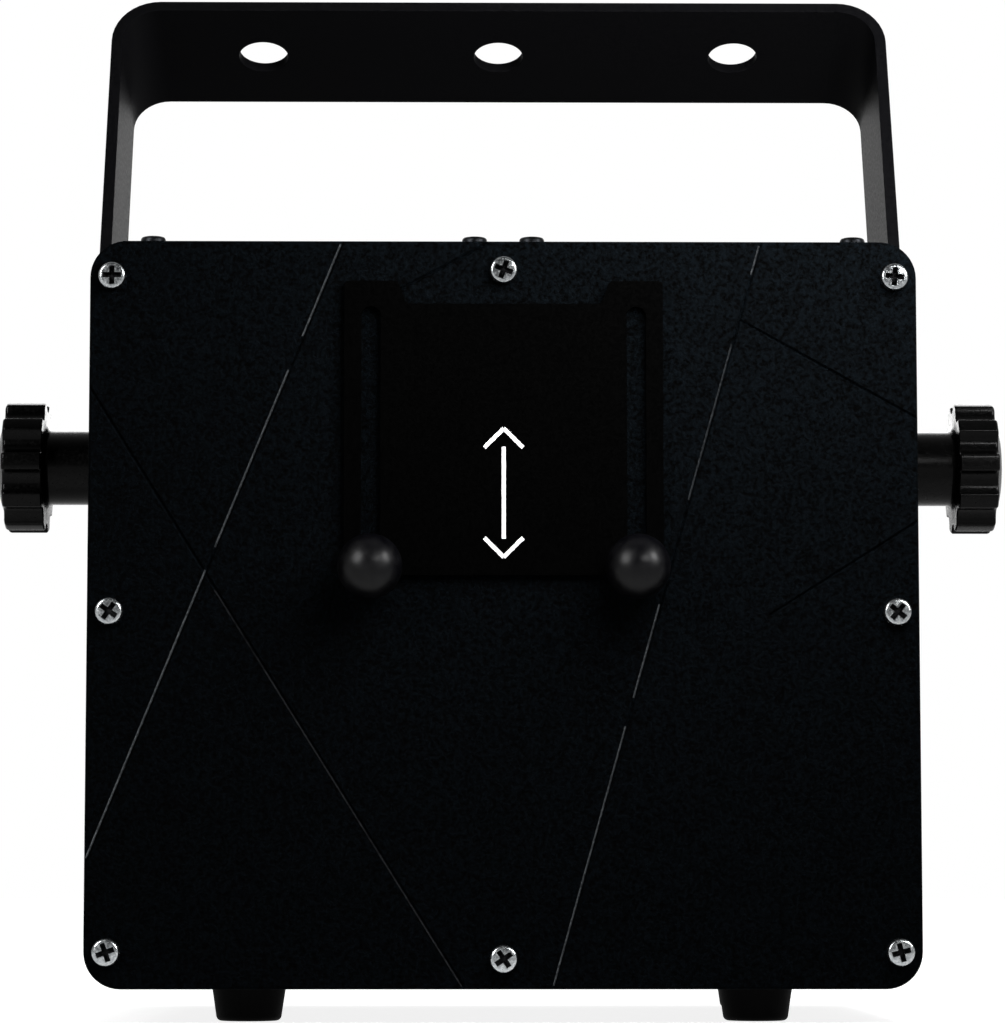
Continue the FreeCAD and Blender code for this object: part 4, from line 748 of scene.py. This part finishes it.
def addDigits(spec):
    half, tall = spec["width"] / 2, spec["height"] / 2
    gap = spec["gap"] + spec["bar"] / 2
    bm = bmesh.new()
    for count in range(spec["count"]):
        x = (count - (spec["count"] - 1) / 2) * spec["pitch"]
        for height in (-tall, 0, tall):
            addBar(bm, (x - half + gap, height), (x + half - gap, height), spec["bar"], spec["thick"])
        for edge in (x - half, x + half):
            for start in (-tall, 0):
                addBar(bm, (edge, start + gap), (edge, start + tall - gap), spec["bar"], spec["thick"])
    slanted = Matrix.Identity(4)
    slanted[0][1] = spec["slant"]
    bmesh.ops.transform(bm, matrix=rearFace("display_module") @ slanted, verts=bm.verts)
    finishPiece("displayDigits", bm, trims["digitResin"], "housing")


addDigits(digitRow)


# Data sockets: moulded inserts in the metal shells, with three holes for the contacts

contactHoles = dict(circle=4.0, angles=(30, 150, 270), steps=24, rimSteps=64, skin=0.3, edge=0.1)
socketInserts = [    # depth: the insert's face under the flange; skirt: how far its side reaches down
    dict(name="outputInsert", node="dmx_output", radius=7.95, hole=1.4, depth=0.65, skirt=15.0),
    dict(name="inputInsert", node="dmx_input", radius=9.5, hole=1.3, depth=15.6, skirt=0.0),
]


def addSocketInsert(spec, holes):
    bm = bmesh.new()
    bmesh.ops.create_circle(bm, segments=holes["rimSteps"], radius=spec["radius"] * mm)
    rim = bm.edges[:]
    for angle in holes["angles"]:
        spot = Vector((cos(radians(angle)), sin(radians(angle)), 0)) * holes["circle"] * mm
        bmesh.ops.create_circle(bm, segments=holes["steps"], radius=spec["hole"] * mm,
                                matrix=Matrix.Translation(spot))
    fillBetween(bm, bm.edges[:])
    if spec["skirt"]:
        raiseLoop(bm, rim, 1.0, -spec["skirt"] * mm)
    faceUp(bm)
    bmesh.ops.solidify(bm, geom=bm.faces[:], thickness=holes["skin"] * mm)
    softenEdges(bm, holes["edge"])
    bmesh.ops.transform(bm, matrix=rearFace(spec["node"], spec["depth"]), verts=bm.verts)
    finishPiece(spec["name"], bm, finishes["socket_plastic"], "housing")


for spec in socketInserts:
    addSocketInsert(spec, contactHoles)
print("guard, cut lines, marks, digits and socket inserts modelled")


# Stage and light

studio = dict(floorSize=12.0, floorColour="c4c4c4", floorLift=0.86, liftFrom=0.25, liftTo=0.9,
              backdrop="ffffff", skyFront=0.02, skyBack=1.0, roomFront=-0.6, roomBack=0.9,
              skyGlow=0.4, glowTop=0.4, skyFill=0.11)
softBoxes = [    # size: width and height; the strips only show in reflections, the plate's lamp only lights
    dict(name="leftSoftBox", aim=(0.0, -0.05, 0.10), place=(-0.50, -0.53, 0.41), size=(0.13, 0.26),
         watts=0.9),
    dict(name="leftStrip", aim=(0.0, -0.05, 0.10), place=(-0.50, -0.53, 0.41), size=(0.18, 0.32), watts=9.0,
         lit=False),
    dict(name="rightStrip", aim=(0.0, -0.05, 0.10), place=(0.56, -0.38, 0.41), size=(0.14, 0.28), watts=6.5,
         lit=False),
    dict(name="frontStrip", aim=(0.05, -0.02, 0.10), place=(0.30, -0.62, 0.37), size=(0.22, 0.08), watts=2.2,
         lit=False),
    dict(name="plateLight", aim=(0.0, -0.07, 0.21), place=(0.085, -0.17, 0.246), size=(0.16, 0.16), watts=1.7,
         mirrored=False),
    dict(name="rearSoftBox", aim=(0.0, 0.0, 0.10), place=(0.03, 0.95, 0.55), size=(0.7, 0.7), watts=5.0),
]


def addFloor(spec):
    bm = bmesh.new()
    bmesh.ops.create_grid(bm, x_segments=2, y_segments=2, size=spec["floorSize"])
    mesh = bpy.data.meshes.new("studioFloor")
    bm.to_mesh(mesh)
    bm.free()
    floor = bpy.data.objects.new("studioFloor", mesh)
    bpy.context.scene.collection.objects.link(floor)
    # matt paper that is lifted to white where the camera sees it, with the object's shadow left in
    material, tree, shader = newMaterial("whitePaper", spec["floorColour"], Roughness=0.9,
                                         Specular_IOR_Level=0.1, Emission_Color=hexToLinear("ffffff"))
    rays = addNode(tree, "ShaderNodeLightPath")
    place = addNode(tree, "ShaderNodeTexCoord")
    away = addNode(tree, "ShaderNodeVectorMath", {"operation": "LENGTH"}, {0: place.outputs["Object"]})
    lift = addNode(tree, "ShaderNodeMapRange", {"From Min": spec["liftFrom"], "From Max": spec["liftTo"],
                                                "To Min": spec["floorLift"], "To Max": 1.0},
                   {"Value": away.outputs["Value"]})
    direct = addNode(tree, "ShaderNodeMath", {"operation": "MAXIMUM"},
                     {0: rays.outputs["Is Camera Ray"], 1: rays.outputs["Is Transmission Ray"]})
    seen = addNode(tree, "ShaderNodeMath", {"operation": "MAXIMUM"},
                   {0: direct.outputs["Value"], 1: rays.outputs["Is Glossy Ray"]})
    strength = addNode(tree, "ShaderNodeMath", {"operation": "MULTIPLY"},
                       {0: lift.outputs["Result"], 1: seen.outputs["Value"]})
    tree.links.new(strength.outputs["Value"], shader.inputs["Emission Strength"])
    mesh.materials.append(material)


def addSky(spec):
    # white to the camera and through glass, a pale room with a dark camera side in reflections,
    # where only the paper's far edge glows over the horizon
    world = bpy.data.worlds.new("studioRoom")
    world.use_nodes = True
    bpy.context.scene.world = world
    tree = world.node_tree
    tree.nodes.clear()
    rays = addNode(tree, "ShaderNodeLightPath")
    place = addNode(tree, "ShaderNodeTexCoord")
    axes = addNode(tree, "ShaderNodeSeparateXYZ", {}, {"Vector": place.outputs["Generated"]})
    room = addNode(tree, "ShaderNodeMapRange", {"From Min": spec["roomFront"], "From Max": spec["roomBack"],
                                                "To Min": spec["skyFront"], "To Max": spec["skyBack"]},
                   {"Value": axes.outputs["Y"]})
    glow = addNode(tree, "ShaderNodeMapRange", {"From Min": 0.0, "From Max": spec["glowTop"],
                                                "To Min": spec["skyGlow"], "To Max": 0.0},
                   {"Value": axes.outputs["Z"]})
    mirrored = addNode(tree, "ShaderNodeMath", {"operation": "MAXIMUM"},
                       {0: room.outputs["Result"], 1: glow.outputs["Result"]})
    level = addNode(tree, "ShaderNodeMix", {"data_type": "FLOAT", 2: spec["skyFill"]},
                    {0: rays.outputs["Is Glossy Ray"], 3: mirrored.outputs["Value"]})
    seen = addNode(tree, "ShaderNodeMath", {"operation": "MAXIMUM"},
                   {0: rays.outputs["Is Camera Ray"], 1: rays.outputs["Is Transmission Ray"]})
    strength = addNode(tree, "ShaderNodeMix", {"data_type": "FLOAT", 3: 1.0},
                       {0: seen.outputs["Value"], 2: level.outputs[0]})
    sky = addNode(tree, "ShaderNodeBackground", {"Color": hexToLinear(spec["backdrop"])},
                  {"Strength": strength.outputs[0]})
    addNode(tree, "ShaderNodeOutputWorld", {}, {"Surface": sky.outputs["Background"]})


def addSoftBox(spec):
    data = bpy.data.lights.new(spec["name"], "AREA")
    data.shape = "RECTANGLE"
    data.size, data.size_y = spec["size"]
    data.energy = spec["watts"]
    lamp = bpy.data.objects.new(spec["name"], data)
    lamp.location = spec["place"]
    lamp.visible_camera = False
    lamp.visible_diffuse = spec.get("lit", True)
    lamp.visible_glossy = spec.get("mirrored", True)
    lamp.rotation_euler = (Vector(spec["aim"]) - Vector(spec["place"])).to_track_quat("-Z", "Y").to_euler()
    bpy.context.scene.collection.objects.link(lamp)


addFloor(studio)
addSky(studio)
for spec in softBoxes:
    addSoftBox(spec)
print("stage and lights set")
